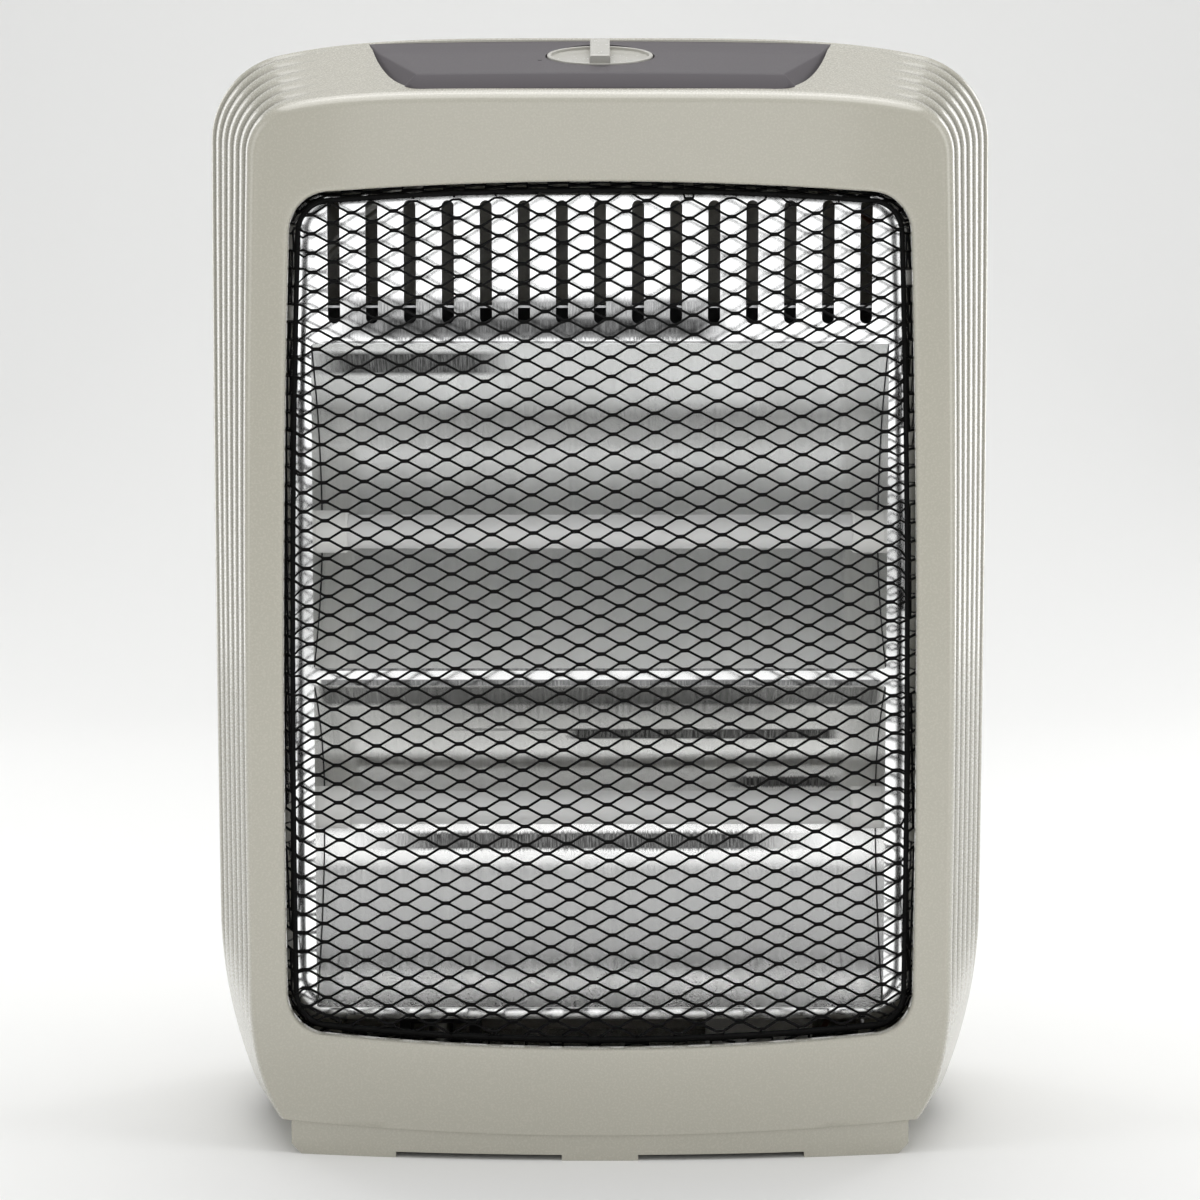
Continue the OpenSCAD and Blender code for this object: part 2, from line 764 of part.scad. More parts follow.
module rotary_switch() {
    color(BLACK) at_knob() difference() {
        union() {
            translate([-switch_w / 2, -switch_l / 2, switch_top - switch_h])
                cube([switch_w, switch_l, switch_h]);
            translate([-switch_screw_x - 4, -5, switch_top - ear_t])
                cube([2 * switch_screw_x + 8, 10, ear_t]);
        }
        translate([0, 0, switch_top - 12 - gap]) cylinder(r = shaft_dia / 2 + running, h = 20);
        for (side = [-1, 1]) translate([side * switch_screw_x, 0, switch_top - ear_t - 1])
            cylinder(r = pass_r, h = ear_t + 2);
    }
}

// A screw that points along +Z, with its head's underside at the origin
module screw(length) {
    cylinder(d = screw_dia, h = length);
    translate([0, 0, -screw_head_h]) difference() {
        cylinder(d = screw_head_dia, h = screw_head_h);
        for (a = [0, 90]) rotate(a)
            translate([-screw_head_dia / 4, -0.4, -1]) cube([screw_head_dia / 2, 0.8, 1.8]);
    }
}

module switch_screws() {
    color(STEEL) at_knob() for (side = [-1, 1])
        translate([side * switch_screw_x, 0, switch_top - ear_t]) screw(ear_t + 2.6);
}

// ---- Guard ----------------------------------------------------------------------

guard_pts = grow(window_pts, -guard_gap);
flange_pts = grow(window_pts, 1.8);
guard_back_s = plate_s - gap;

// Whether a point lies inside a bulging outline with clockwise points
function inside(p, pts) = max([for (i = [0 : len(pts) - 1])
    cross(pts[(i + 1) % len(pts)] - pts[i], p - pts[i])]) < 0;

// Openings of the mesh whose middles lie inside the guard's edge
module mesh_openings() {
    rows = ceil((window_z1 - window_z0) / mesh_h) + 1;
    cols = ceil(window_half / mesh_l) + 1;
    mid_z = (window_z0 + window_z1) / 2;
    hx = mesh_l / 2 - strand_w;
    hz = mesh_h / 2 - strand_w / 2;
    edge = grow(guard_pts, -strand_w);
    limit = grow(guard_pts, -strand_w - 2);
    for (row = [-rows : rows]) for (col = [-cols : cols]) {
        mid = [(col + abs(row % 2) / 2) * mesh_l, mid_z + row * mesh_h / 2];
        if (inside(mid, limit)) intersection() {
            polygon(edge);
            translate(mid) polygon([[-hx, 0], [0, hz], [hx, 0], [0, -hz]]);
        }
    }
}

module guard_mesh() {
    color(BLACK) difference() {
        intersection() {
            union() {
                push_back(0, guard_back_s) polygon(guard_pts);
                push_back(guard_back_s - guard_t, guard_back_s) polygon(flange_pts);
            }
            behind_face(guard_s);
        }
        intersection() {
            push_back(0, guard_back_s + 1) polygon(grow(guard_pts, -guard_t));
            behind_face(guard_s + guard_t);
        }
        push_back(0, guard_back_s - 2) mesh_openings();
    }
}

// ---- Reflector --------------------------------------------------------------------

trough_spans = [[trough_z0, divider_z - divider_w / 2], [divider_z + divider_w / 2, trough_z1]];
lip = divider_w / 2 - gap;
trough_steps = 10;
trough_back_s = plate_s + sheet_t;

// Section of a trough: two half parabolas that meet behind the tube, seen as
// [depth, height], moved off by t to give the sheet its thickness
function trough_curve(k, t) =
    let (lo = trough_spans[k][0], hi = trough_spans[k][1], mid = tube_z[k])
    [for (i = [-trough_steps : trough_steps])
        let (
            u = i / trough_steps,
            span = u < 0 ? mid - lo : hi - mid,
            p = [trough_back_s + trough_d * (1 - u * u), mid + u * span],
            out = unit([span, 2 * trough_d * u])
        )
        p + t * out
    ];

// A section drawn as [depth, height], run across the heater
module across(x0, x1) {
    translate([x0, depth(0), 0]) rotate([90, 0, 90]) linear_extrude(x1 - x0) children();
}

module trough(k) {
    span = trough_spans[k];
    curve = trough_curve(k, 0);
    back = trough_curve(k, sheet_t);
    n = len(curve);
    across(-trough_half + gap, trough_half - gap) {
        polygon(concat(
            [[trough_back_s, span[0] - lip]], curve, [[trough_back_s, span[1] + lip]],
            [[trough_back_s + sheet_t, span[1] + lip]],
            [for (i = [n - 2 : -1 : 1]) back[i]],
            [[trough_back_s + sheet_t, span[0] - lip]]
        ));
    }
}

module slotted_plate() {
    color(BRIGHT) difference() {
        push_back(plate_s, plate_s + sheet_t) difference() {
            translate([-plate_half, plate_z0]) square([2 * plate_half, plate_z1 - plate_z0]);
            for (span = trough_spans)
                translate([-trough_half, span[0]]) square([2 * trough_half, span[1] - span[0]]);
            for (i = [0 : slots - 1])
                slot((i - (slots - 1) / 2) * slot_pitch, slot_z0, slot_z1, slot_w);
            for (side = [-1, 1]) for (z = plate_screw_z)
                translate([side * plate_screw_x, z]) circle(r = pass_r);
        }
    }
}

module cheek(side) {
    x = side > 0 ? trough_half : -trough_half - cheek_t;
    color(BRIGHT) difference() {
        translate([x, depth(trough_back_s), trough_z0 - lip])
            cube([cheek_t, cheek_back_s - trough_back_s, trough_z1 - trough_z0 + 2 * lip]);
        for (z = tube_z) rod_x(tube_s, z, neck_r + gap, x - 1, x + cheek_t + 1);
    }
}

module tube_bracket(side) {
    x = side > 0 ? bracket_x : -bracket_x - bracket_t;
    flange = side > 0 ? bracket_x : -plate_half + 1;
    z0 = tube_z[0] - 25;
    z1 = tube_z[1] + 25;
    color(STEEL) difference() {
        union() {
            translate([x, depth(trough_back_s), z0]) cube([bracket_t, tube_s + 12 - trough_back_s, z1 - z0]);
            translate([flange, depth(trough_back_s), z0]) cube([plate_half - 1 - bracket_x, bracket_t, z1 - z0]);
        }
        for (z = tube_z) rod_x(tube_s, z, neck_r + gap, x - 1, x + bracket_t + 1);
        rod_y(side * plate_screw_x, divider_z, pass_r, plate_s, trough_back_s + bracket_t + 1);
    }
}

// ---- Tubes ---------------------------------------------------------------------------

socket_d = 5.5;
tube_end = trough_half - socket_d;
cap_in = trough_half - cap_l;
tail_r = 0.6;
coil_half = trough_half - 21.8;
tail_end = neck_end - 7;

// A shape turned about a tube's axis, drawn as [radius, x]
module turned(z) {
    translate([0, depth(tube_s), z]) rotate([0, 90, 0]) rotate_extrude($fn = 64) children();
}

module quartz_tube(z) {
    color([0.9, 0.9, 0.88, 0.8]) turned(z)
        translate([tube_dia / 2 - tube_wall, -tube_end]) square([tube_wall, 2 * tube_end]);
}

module heating_coil(z) {
    wire_t = 0.8;
    color([0.5, 0.45, 0.42]) turned(z) {
        translate([coil_dia / 2 - wire_t, -coil_half]) square([wire_t, 2 * coil_half]);
        for (end = [-coil_half, coil_half - wire_t])
            translate([0, end]) square([coil_dia / 2, wire_t]);
        for (start = [-tail_end, coil_half - wire_t / 2])
            translate([0, start]) square([tail_r, tail_end - coil_half + wire_t / 2]);
    }
}

module end_cap(side, z) {
    bore = tail_r + gap;
    color(CERAMIC) mirror([side > 0 ? 0 : 1, 0, 0]) turned(z) polygon([
        [tube_dia / 2 + gap, cap_in], [cap_dia / 2 - 0.8, cap_in], [cap_dia / 2, cap_in + 0.8],
        [cap_dia / 2, trough_half], [neck_r, trough_half], [neck_r, neck_end],
        [pilot_r, neck_end], [pilot_r, tail_end], [bore, tail_end],
        [bore, tube_end + gap], [tube_dia / 2 + gap, tube_end + gap]
    ]);
}

module terminal_screws() {
    color(STEEL) for (side = [-1, 1]) for (z = tube_z)
        translate([side * neck_end, depth(tube_s), z])
            rotate([0, side > 0 ? -90 : 90, 0]) screw(neck_end - tail_end - 1);
}

// ---- Inner pieces -----------------------------------------------------------------------

// An upright sheet with a shelf along its top, which keeps the warm air of the
// troughs away from the switch
module heat_shield() {
    color(BRIGHT) union() {
        push_back(shield_s, shield_s + sheet_t) difference() {
            translate([-shield_half, shield_z0]) square([2 * shield_half, shield_z1 - shield_z0]);
            for (side = [-1, 1]) for (z = shield_screw_z)
                translate([side * shield_screw_x, z]) circle(r = pass_r);
        }
        translate([-shelf_half, depth(shelf_s), shield_z1 - sheet_t])
            cube([2 * shelf_half, shield_s - shelf_s + sheet_t / 2, sheet_t]);
    }
}

cutout_x = 40;
cutout_z = divider_z;
cutout_r = 8;
cutout_h = 7;
module thermal_cutout() {
    color(BLACK) {
        rod_y(cutout_x, cutout_z, cutout_r, shield_s + sheet_t, shield_s + sheet_t + cutout_h);
        translate([cutout_x - 11, depth(shield_s + sheet_t), cutout_z - 4]) cube([22, 1.2, 8]);
    }
}

block = [40, 16, 14];
block_x = gland_x - 40;
block_s = 104;
floor_z = base_h + wall;
clamp_x = [7, 20, 33];
clamp_z = floor_z + block[2] - 4;
module terminal_block() {
    color(CERAMIC) difference() {
        translate([block_x, depth(block_s), floor_z]) cube(block);
        for (x = clamp_x) translate([block_x + x, depth(block_s + block[1] / 2), clamp_z])
            cylinder(r = 2.6, h = 5);
    }
}

module cord_gland() {
    color(BLACK) translate([gland_x, depth(body_d), gland_z]) rotate([90, 0, 0]) difference() {
        union() {
            cylinder(r = gland_r + gland_rim, h = gland_sink);
            cylinder(r = gland_r, h = gland_sink + wall);
            translate([0, 0, gland_sink + wall]) cylinder(r = gland_r + gland_rim, h = 4);
        }
        translate([0, 0, -1]) cylinder(r = cord_r, h = gland_sink + wall + 6);
    }
}

// ---- Tip-over switch ----------------------------------------------------------------------

collar_z = base_h + plunger_travel + gap;
collar_t = 2;
tip_body_z = 25;
tip_body = [30, 18, 26];
tip_leg_t = 4;
stem_r = 2.5;
stem_reach = 10;

module at_tip() {
    translate([tip_x, depth(tip_s), 0]) children();
}

module tip_switch() {
    color(BLACK) at_tip() difference() {
        union() {
            translate([-tip_body[0] / 2, -tip_body[1] / 2, tip_body_z]) cube(tip_body);
            for (x = [-tip_body[0] / 2, tip_body[0] / 2 - tip_leg_t])
                translate([x, -tip_body[1] / 2, floor_z])
                    cube([tip_leg_t, tip_body[1], tip_body_z - floor_z]);
        }
        translate([0, 0, tip_body_z - 1]) cylinder(r = stem_r + 0.1, h = stem_reach + 4);
    }
}

module tip_plunger() {
    color(CREAM) at_tip() {
        cylinder(d = plunger_dia, h = collar_z);
        translate([0, 0, collar_z]) cylinder(r = plunger_dia / 2 + 2, h = collar_t);
        translate([0, 0, collar_z + collar_t]) 
            cylinder(r = stem_r, h = tip_body_z + stem_reach - collar_z - collar_t);
    }
}

module tip_spring() {
    low = collar_z + collar_t + gap;
    color(STEEL) at_tip() translate([0, 0, low]) difference() {
        cylinder(r = 4.6, h = tip_body_z - low);
        translate([0, 0, -1]) cylinder(r = 3.6, h = tip_body_z - low + 2);
    }
}

// ---- Leads ------------------------------------------------------------------------------------

lead_r = 1.2;
lead_sides = 6;
lead_steps = 3;
terminal_x = neck_end + screw_head_h + gap;
switch_foot = switch_top - switch_h - gap;

// Places under the switch where the leads start, and below them by drop
function switch_pin(x, l, drop = 0) = let (foot = switch_foot - drop) [
    x,
    knob_s + l * cos(panel_slope) - foot * sin(panel_slope),
    knob_z + l * sin(panel_slope) + foot * cos(panel_slope)
];

// Routes of the leads, as [x, depth, height]; each leaves its terminal
// straight, and the long ones run beside the troughs and under the panel
beside_x = terminal_x + 0.5;
under_z = panel_low_z - 7;
block_end = block_x + block[0];
cutout_face = shield_s + sheet_t + cutout_h + gap;
route_inlet = [
    [gland_x, body_d - 10, gland_z], [gland_x, body_d - 16, gland_z], [gland_x - 3, 121, gland_z - 1],
    [block_x + clamp_x[2] + 1, 114, clamp_z + 12.5], [block_x + clamp_x[2], 112, clamp_z + 6.5],
    [block_x + clamp_x[2], 112, clamp_z + gap]
];
route_switch = [
    [block_end + gap, block_s + 6, floor_z + 7.5], [block_end + 4, block_s + 6, floor_z + 7.5],
    [block_end + 9, block_s + 4, floor_z + 18], [block_end + 17, 103, floor_z + 38],
    [beside_x - 3, 100, 85], [beside_x - 2, 100, divider_z + 15], [beside_x - 2, 98, trough_z1 + 9],
    [beside_x - 14, 88, under_z - 25], [60, 70, under_z - 5], [26, 58, under_z],
    switch_pin(9, 4, 5), switch_pin(9, 4)
];
route_upper = [
    switch_pin(-9, -5), switch_pin(-9, -5, 5), [-26, 48, under_z], [-70, 52, under_z - 12],
    [-beside_x + 8, 58, trough_z1 + 19], [-beside_x, 58, tube_z[1] + 36], [-beside_x - 4, 52, tube_z[1] + 12],
    [-terminal_x - 3, tube_s, tube_z[1]], [-terminal_x, tube_s, tube_z[1]]
];
route_lower = [
    switch_pin(-9, 6), switch_pin(-9, 6, 5), [-28, 66, under_z], [-74, 74, under_z - 17],
    [-beside_x + 6, 76, trough_z1 + 9], [-beside_x, 76, tube_z[1] - 14], [-beside_x, 72, tube_z[0] + 34],
    [-beside_x - 4, 56, tube_z[0] + 12], [-terminal_x - 3, tube_s, tube_z[0]], [-terminal_x, tube_s, tube_z[0]]
];
route_link = [
    [terminal_x, tube_s, tube_z[1]], [terminal_x + 3, tube_s, tube_z[1]],
    [beside_x + 4, tube_s + 6, tube_z[1] - 12], [beside_x, 62, tube_z[1] - 26],
    [beside_x, 62, tube_z[0] + 26], [beside_x + 4, tube_s + 6, tube_z[0] + 13],
    [terminal_x + 3, tube_s, tube_z[0] + 1.5], [terminal_x, tube_s, tube_z[0] + 1.5]
];
route_return = [
    [terminal_x, tube_s, tube_z[0] - 1.5], [terminal_x + 3, tube_s, tube_z[0] - 1.5],
    [beside_x + 4, 58, tube_z[0] - 13], [beside_x, 76, tube_z[0] - 18], [beside_x - 3, 94, tube_z[0] - 12],
    [beside_x - 18, 102, 120], [70, 104, cutout_z - 20], [cutout_x + 6, 101, cutout_z - 3],
    [cutout_x + 4, cutout_face + 3, cutout_z], [cutout_x + 4, cutout_face, cutout_z]
];
route_neutral = [
    [cutout_x - 4, cutout_face, cutout_z], [cutout_x - 4, cutout_face + 3, cutout_z],
    [cutout_x - 5, 102, cutout_z - 8], [34, 105, cutout_z - 35], [34, 108, 80],
    [block_x + clamp_x[0] - 2, 112, clamp_z + 19.5], [block_x + clamp_x[0], 112, clamp_z + 6.5],
    [block_x + clamp_x[0], 112, clamp_z + gap]
];

// A smooth path through the points of a route, straight at both its ends
function spline(p, t) =
    let (
        n = len(p) - 1, i = min(floor(t), n - 1), u = t - i,
        a = p[max(i - 1, 0)], b = p[i], c = p[i + 1], d = p[min(i + 2, n)]
    )
    i == 0 || i == n - 1
        ? b + (c - b) * u
        : 0.5 * (2 * b + (c - a) * u + (2 * a - 5 * b + 4 * c - d) * u * u + (3 * b - a - 3 * c + d) * u * u * u);

// One insulated lead, swept along its route
module lead(route, shade) {
    count = (len(route) - 1) * lead_steps;
    path = [for (i = [0 : count]) let (q = spline(route, i / lead_steps)) [q[0], depth(q[1]), q[2]]];
    color(shade) skin([for (i = [0 : count])
        let (
            along = unit(path[min(i + 1, count)] - path[max(i - 1, 0)]),
            across = unit(cross(along, [0.31, 0.24, 0.92])),
            up = cross(across, along)
        )
        [for (k = [0 : lead_sides - 1])
            let (a = 360 * k / lead_sides) path[i] + lead_r * (across * cos(a) + up * sin(a))]
    ]);
}

// ---- Fasteners of the body ---------------------------------------------------------------------

module cover_screws() {
    color(STEEL) for (side = [-1, 1]) for (p = cover_screw_spots)
        translate([side * p[0], depth(cover_screw_seat), p[1]])
            rotate([90, 0, 0]) screw(cover_screw_seat - cover_screw_tip);
}

module base_screws() {
    color(STEEL) for (side = [-1, 1]) for (s = base_screw_s)
        translate([side * base_screw_x, depth(s), base_plate_z]) screw(base_screw_l);
}

module plate_screws() {
    color(STEEL) for (side = [-1, 1]) for (z = plate_screw_z) {
        seat = trough_back_s + (z == divider_z ? bracket_t : 0);
        translate([side * plate_screw_x, depth(seat), z]) rotate([90, 0, 0])
            screw(seat - plate_s + plate_screw_bite);
    }
}

module shield_screws() {
    color(STEEL) for (side = [-1, 1]) for (z = shield_screw_z)
        translate([side * shield_screw_x, depth(shield_s), z]) rotate([-90, 0, 0])
            screw(sheet_t + shield_screw_bite);
}

front_cover();
rear_cover();
base();
control_panel();
selector_knob();
switch_shaft();
rotary_switch();
switch_screws();
guard_mesh();
slotted_plate();
color(BRIGHT) trough(1);  // reflector_upper
color(BRIGHT) trough(0);  // reflector_lower
cheek(-1);  // cheek_left
cheek(1);  // cheek_right
quartz_tube(tube_z[1]);  // quartz_tube_upper
quartz_tube(tube_z[0]);  // quartz_tube_lower
heating_coil(tube_z[1]);  // heating_coil_upper
heating_coil(tube_z[0]);  // heating_coil_lower
end_cap(-1, tube_z[1]);  // end_cap_upper_left
end_cap(1, tube_z[1]);  // end_cap_upper_right
end_cap(-1, tube_z[0]);  // end_cap_lower_left
end_cap(1, tube_z[0]);  // end_cap_lower_right
tube_bracket(-1);  // tube_bracket_left
tube_bracket(1);  // tube_bracket_right
terminal_screws();
heat_shield();
thermal_cutout();
terminal_block();
cord_gland();
tip_switch();
tip_plunger();
tip_spring();
lead(route_inlet, BLACK);  // lead_inlet
lead(route_switch, "brown");  // lead_switch
lead(route_upper, "white");  // lead_upper
lead(route_lower, "white");  // lead_lower
lead(route_link, "white");  // lead_link
lead(route_return, "white");  // lead_return
lead(route_neutral, "blue");  // lead_neutral
cover_screws();
base_screws();
plate_screws();
shield_screws();
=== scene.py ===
import math

import bmesh
import bpy
import numpy as np
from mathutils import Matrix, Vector


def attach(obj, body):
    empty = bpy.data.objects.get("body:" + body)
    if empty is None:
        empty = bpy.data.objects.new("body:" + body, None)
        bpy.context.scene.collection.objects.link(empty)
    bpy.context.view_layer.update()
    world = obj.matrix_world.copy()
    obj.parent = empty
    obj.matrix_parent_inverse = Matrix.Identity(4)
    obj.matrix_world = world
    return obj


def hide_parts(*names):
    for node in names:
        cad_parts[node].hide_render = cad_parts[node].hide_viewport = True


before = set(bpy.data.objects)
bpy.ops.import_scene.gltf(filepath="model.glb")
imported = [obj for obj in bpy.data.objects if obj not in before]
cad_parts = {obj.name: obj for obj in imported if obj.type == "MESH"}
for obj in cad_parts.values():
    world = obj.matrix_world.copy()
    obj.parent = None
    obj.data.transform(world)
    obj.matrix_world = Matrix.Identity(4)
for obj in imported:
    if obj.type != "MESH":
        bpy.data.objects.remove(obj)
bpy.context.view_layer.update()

# ---- Camera ----
# It stands 1.1 m in front of the heater, a little below its top, and looks
# 6 degrees down, with a lens of about 21 degrees, as the photograph was taken.
def placed(name, data):
    """A new object around its data, in the scene."""
    made = bpy.data.objects.new(name, data)
    bpy.context.collection.objects.link(made)
    return made


camera = placed("camera", bpy.data.cameras.new("camera"))
camera.data.sensor_width = 36
camera.data.lens = 97.26
camera.location = (0, -1.167, 0.310)
camera.rotation_euler = (math.radians(90 - 6), 0, 0)
bpy.context.scene.camera = camera
bpy.context.scene.view_settings.view_transform = "Standard"


# ---- Studio ----
# A white tent over a seamless sweep of pale paper: soft boxes overhead, at the
# sides, behind and in front, where the bright metal mirrors them, a card low in
# front for what faces down, and two strips behind that edge the side grooves.
def soft_box(name, place, aim, size, watts):
    """A rectangular lamp that the camera doesn't see, turned to a point."""
    lamp = placed(name, bpy.data.lights.new(name, "AREA"))
    lamp.data.shape = "RECTANGLE"
    lamp.data.size, lamp.data.size_y = size
    lamp.data.energy = watts
    lamp.location = place
    lamp.rotation_euler = (Vector(aim) - Vector(place)).to_track_quat("-Z", "Y").to_euler()
    lamp.visible_camera = False


soft_box("box_above", (0, 0.15, 1.7), (0, 0.05, 0.2), (1.9, 1.3), 19)
soft_box("box_left", (-1.45, -0.4, 0.6), (0, 0, 0.25), (0.8, 1.3), 4.5)
soft_box("box_right", (1.45, -0.4, 0.6), (0, 0, 0.25), (0.8, 1.3), 6.5)
soft_box("box_front", (0, -2.6, 0.82), (0, 0, 0.3), (2.2, 1.55), 13.4)
soft_box("box_front_high", (0, -1.35, 1.8), (0, 0, 0.2), (2.4, 1.3), 4.5)
soft_box("card_low", (0, -0.78, 0.004), (0, -0.78, 1), (2.6, 1.2), 4.4)
soft_box("box_back", (0, 1.25, 2.1), (0, 0, 0.2), (1.6, 0.9), 6.5)
soft_box("strip_left", (-1.0, 1.0, 0.4), (0, 0, 0.2), (0.25, 1.3), 3)
soft_box("strip_right", (1.0, 1.0, 0.4), (0, 0, 0.2), (0.25, 1.3), 4.5)

world = bpy.data.worlds.new("studio")
world.use_nodes = True
surround = world.node_tree.nodes["Background"].inputs
surround["Color"].default_value = (0.94, 0.95, 0.96, 1)
surround["Strength"].default_value = 0.31
bpy.context.scene.world = world

origin_depth = 73  # how far the frame's origin lies behind the heater's foremost point, in mm


def add(tree, kind, inputs=None, **settings):
    """Places a node, links or fills its inputs, and gives back its outputs."""
    made = tree.nodes.new(kind)
    for key, value in settings.items():
        setattr(made, key, value)
    for label, value in (inputs or {}).items():
        if isinstance(value, bpy.types.NodeSocket):
            tree.links.new(value, made.inputs[label])
        else:
            made.inputs[label].default_value = value
    return made.outputs


def object_place(tree):
    """Where a point lies in its object's own frame, in metres."""
    return add(tree, "ShaderNodeTexCoord")["Object"]


def noise(tree, place, scale, detail=2.0, roughness=0.5):
    """A cloudy value between 0 and 1."""
    return add(tree, "ShaderNodeTexNoise", {"Vector": place, "Scale": scale, "Detail": detail,
                                            "Roughness": roughness})["Fac"]


def bumped(tree, height, strength, distance, **more):
    """A normal from a height."""
    return add(tree, "ShaderNodeBump", {"Strength": strength, "Distance": distance, "Height": height,
                                        **more})["Normal"]


def blank_material(name):
    """A new material, its tree and the inputs of its shader."""
    material = bpy.data.materials.new(name)
    material.use_nodes = True
    return material, material.node_tree, material.node_tree.nodes["Principled BSDF"].inputs


def mesh_piece(name, points, faces, material, body=None, replaces=None, slot=None, sharp=38):
    """A piece from points given as x, depth and height in millimetres."""
    points = np.asarray(points, float)
    mesh = bpy.data.meshes.new(name)
    metres = np.stack([points[:, 0], points[:, 1] - origin_depth, points[:, 2]], 1) / 1000
    mesh.from_pydata(metres.tolist(), [], [tuple(map(int, face)) for face in faces])
    bm = bmesh.new()
    bm.from_mesh(mesh)
    bmesh.ops.recalc_face_normals(bm, faces=bm.faces)
    bm.to_mesh(mesh)
    bm.free()
    mesh.materials.append(material)
    piece = placed(name, mesh)
    dress(piece, body, replaces, sharp)
    return piece


def dress(piece, body=None, replaces=None, sharp=38):
    """Smooth shading with sharp edges, and the piece's place in the frame."""
    piece.data.polygons.foreach_set("use_smooth", [True] * len(piece.data.polygons))
    piece.data.set_sharp_from_angle(angle=math.radians(sharp))
    if body:
        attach(piece, body)
    if replaces:
        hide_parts(replaces)


paper, tree, shader = blank_material("sweep_paper")
shader["Base Color"].default_value = (0.84, 0.84, 0.83, 1)
shader["Roughness"].default_value = 0.7
tree.links.new(bumped(tree, noise(tree, object_place(tree), 40.0), 0.02, 0.001), shader["Normal"])
sweep_front, sweep_back, sweep_r, sweep_top, sweep_half = -4500, 1000, 900, 3600, 4000
curl = [(sweep_back + sweep_r * math.sin(a), sweep_r - sweep_r * math.cos(a))
        for a in np.radians(np.linspace(0, 90, 25))]
sweep = [(sweep_front, 0), *curl, (sweep_back + sweep_r, sweep_top)]
points = [(px, ps + origin_depth, pz) for ps, pz in sweep for px in (-sweep_half, sweep_half)]
faces = [(2 * i, 2 * i + 1, 2 * i + 3, 2 * i + 2) for i in range(len(sweep) - 1)]
mesh_piece("floor", points, faces, paper)


# ---- Front cover ----
# One moulding of warm ivory-grey plastic: a face that bows forward, a soft
# edge, sides that widen to the rim behind with six grooves pressed into them,
# and a window whose lip turns inwards.
def bezier(a, b, c, count):
    """Points after the first along a curve from a to c that b pulls aside."""
    t = np.arange(1, count + 1)[:, None] / count
    return (1 - t) ** 2 * np.array(a) + 2 * t * (1 - t) * np.array(b) + t * t * np.array(c)


crown_n, corner_n, side_n, foot_n, under_n = 26, 20, 40, 26, 22


def cover_outline(top, r, power, half_top, half_mid, half_low, low_z, foot, arch=0.0):
    """Half an outline, clockwise from the top middle to the bottom middle, as x and height.

    foot holds the point that the toe's curve is pulled to, and then the x at which it ends.
    """
    fall, under_z = 12, 10
    slope = math.radians(fall)
    edge = half_top - r * (1 - math.sin(slope))
    drop = edge * math.tan(slope) / power
    centre = np.array([edge - r * math.sin(slope), top - drop - r * math.cos(slope)])
    u = np.arange(crown_n) / crown_n
    crown = np.stack([edge * u, top - drop * u ** power], 1)
    a = np.radians(90 - fall) * (1 - np.arange(corner_n + 1) / corner_n)
    corner = centre + r * np.stack([np.cos(a), np.sin(a)], 1)
    side = bezier((half_top, centre[1]), (half_mid, (centre[1] + low_z) / 2), (half_low, low_z), side_n)
    toe = bezier((half_low, low_z), foot[:2], (foot[2], under_z + 0.7 * arch), foot_n)
    u = 1 - np.arange(1, under_n + 1) / under_n
    under = np.stack([foot[2] * u, under_z - 0.3 * arch + arch * u * u], 1)
    return np.concatenate([crown, corner, side, toe, under])


def window_outline(top=336, bottom=39.2, sag=3.2, r=14.0):
    """Half the window's outline, like the cover's, from the centres of its two corners."""
    high, low = np.array([91.5, 318.8]), np.array([94.6, 56.4])
    widest = (110, 200)
    u = np.arange(crown_n) / crown_n
    crown = np.stack([high[0] * u, top - sag * u * u], 1)
    a = np.radians(90) * (1 - np.arange(corner_n + 1) / corner_n)
    corner = high + r * np.stack([np.cos(a), np.sin(a)], 1)
    side = bezier((high[0] + r, high[1]), widest, (low[0] + r, low[1]), side_n)
    a = -np.radians(90) * np.arange(1, foot_n + 1) / foot_n
    toe = low + r * np.stack([np.cos(a), np.sin(a)], 1)
    u = 1 - np.arange(1, under_n + 1) / under_n
    under = np.stack([low[0] * u, bottom + sag * u * u], 1)
    return np.concatenate([crown, corner, side, toe, under])


def whole(half):
    """The outline with its mirror image."""
    return np.concatenate([half, half[-2:0:-1] * np.array([-1, 1])])


def outward(ring):
    """Outward normals of a clockwise ring, mitred at its corners."""
    before, after = ring - np.roll(ring, 1, 0), np.roll(ring, -1, 0) - ring
    a = np.stack([-before[:, 1], before[:, 0]], 1) / np.linalg.norm(before, axis=1)[:, None]
    b = np.stack([-after[:, 1], after[:, 0]], 1) / np.linalg.norm(after, axis=1)[:, None]
    return (a + b) / (1 + (a * b).sum(1))[:, None]


def offset(ring, distance):
    """The ring moved outwards, or inwards if the distance is negative."""
    return ring + outward(ring) * distance


def upright(ring, depth):
    """A ring of x and height, set at a depth."""
    return np.stack([ring[:, 0], np.broadcast_to(depth, (len(ring),)), ring[:, 1]], 1)


def tube_faces(rings, n, closed=False, capped=False):
    """Faces between rings of n points, one after the other."""
    faces = []
    for k in range(rings if closed else rings - 1):
        a, b = k * n, ((k + 1) % rings) * n
        faces += [(a + i, b + i, b + (i + 1) % n, a + (i + 1) % n) for i in range(n)]
    if capped:
        faces += [range(n), range((rings - 1) * n, rings * n)]
    return faces


def bow(x, half_face=119.0, deep=12.0):
    """How far the face lies back from its foremost line."""
    radius = (half_face ** 2 + deep ** 2) / (2 * deep)
    return radius - np.sqrt(radius ** 2 - np.asarray(x) ** 2)


def smooth(v):
    """A soft step from 0 to 1."""
    v = np.clip(v, 0, 1)
    return v * v * (3 - 2 * v)


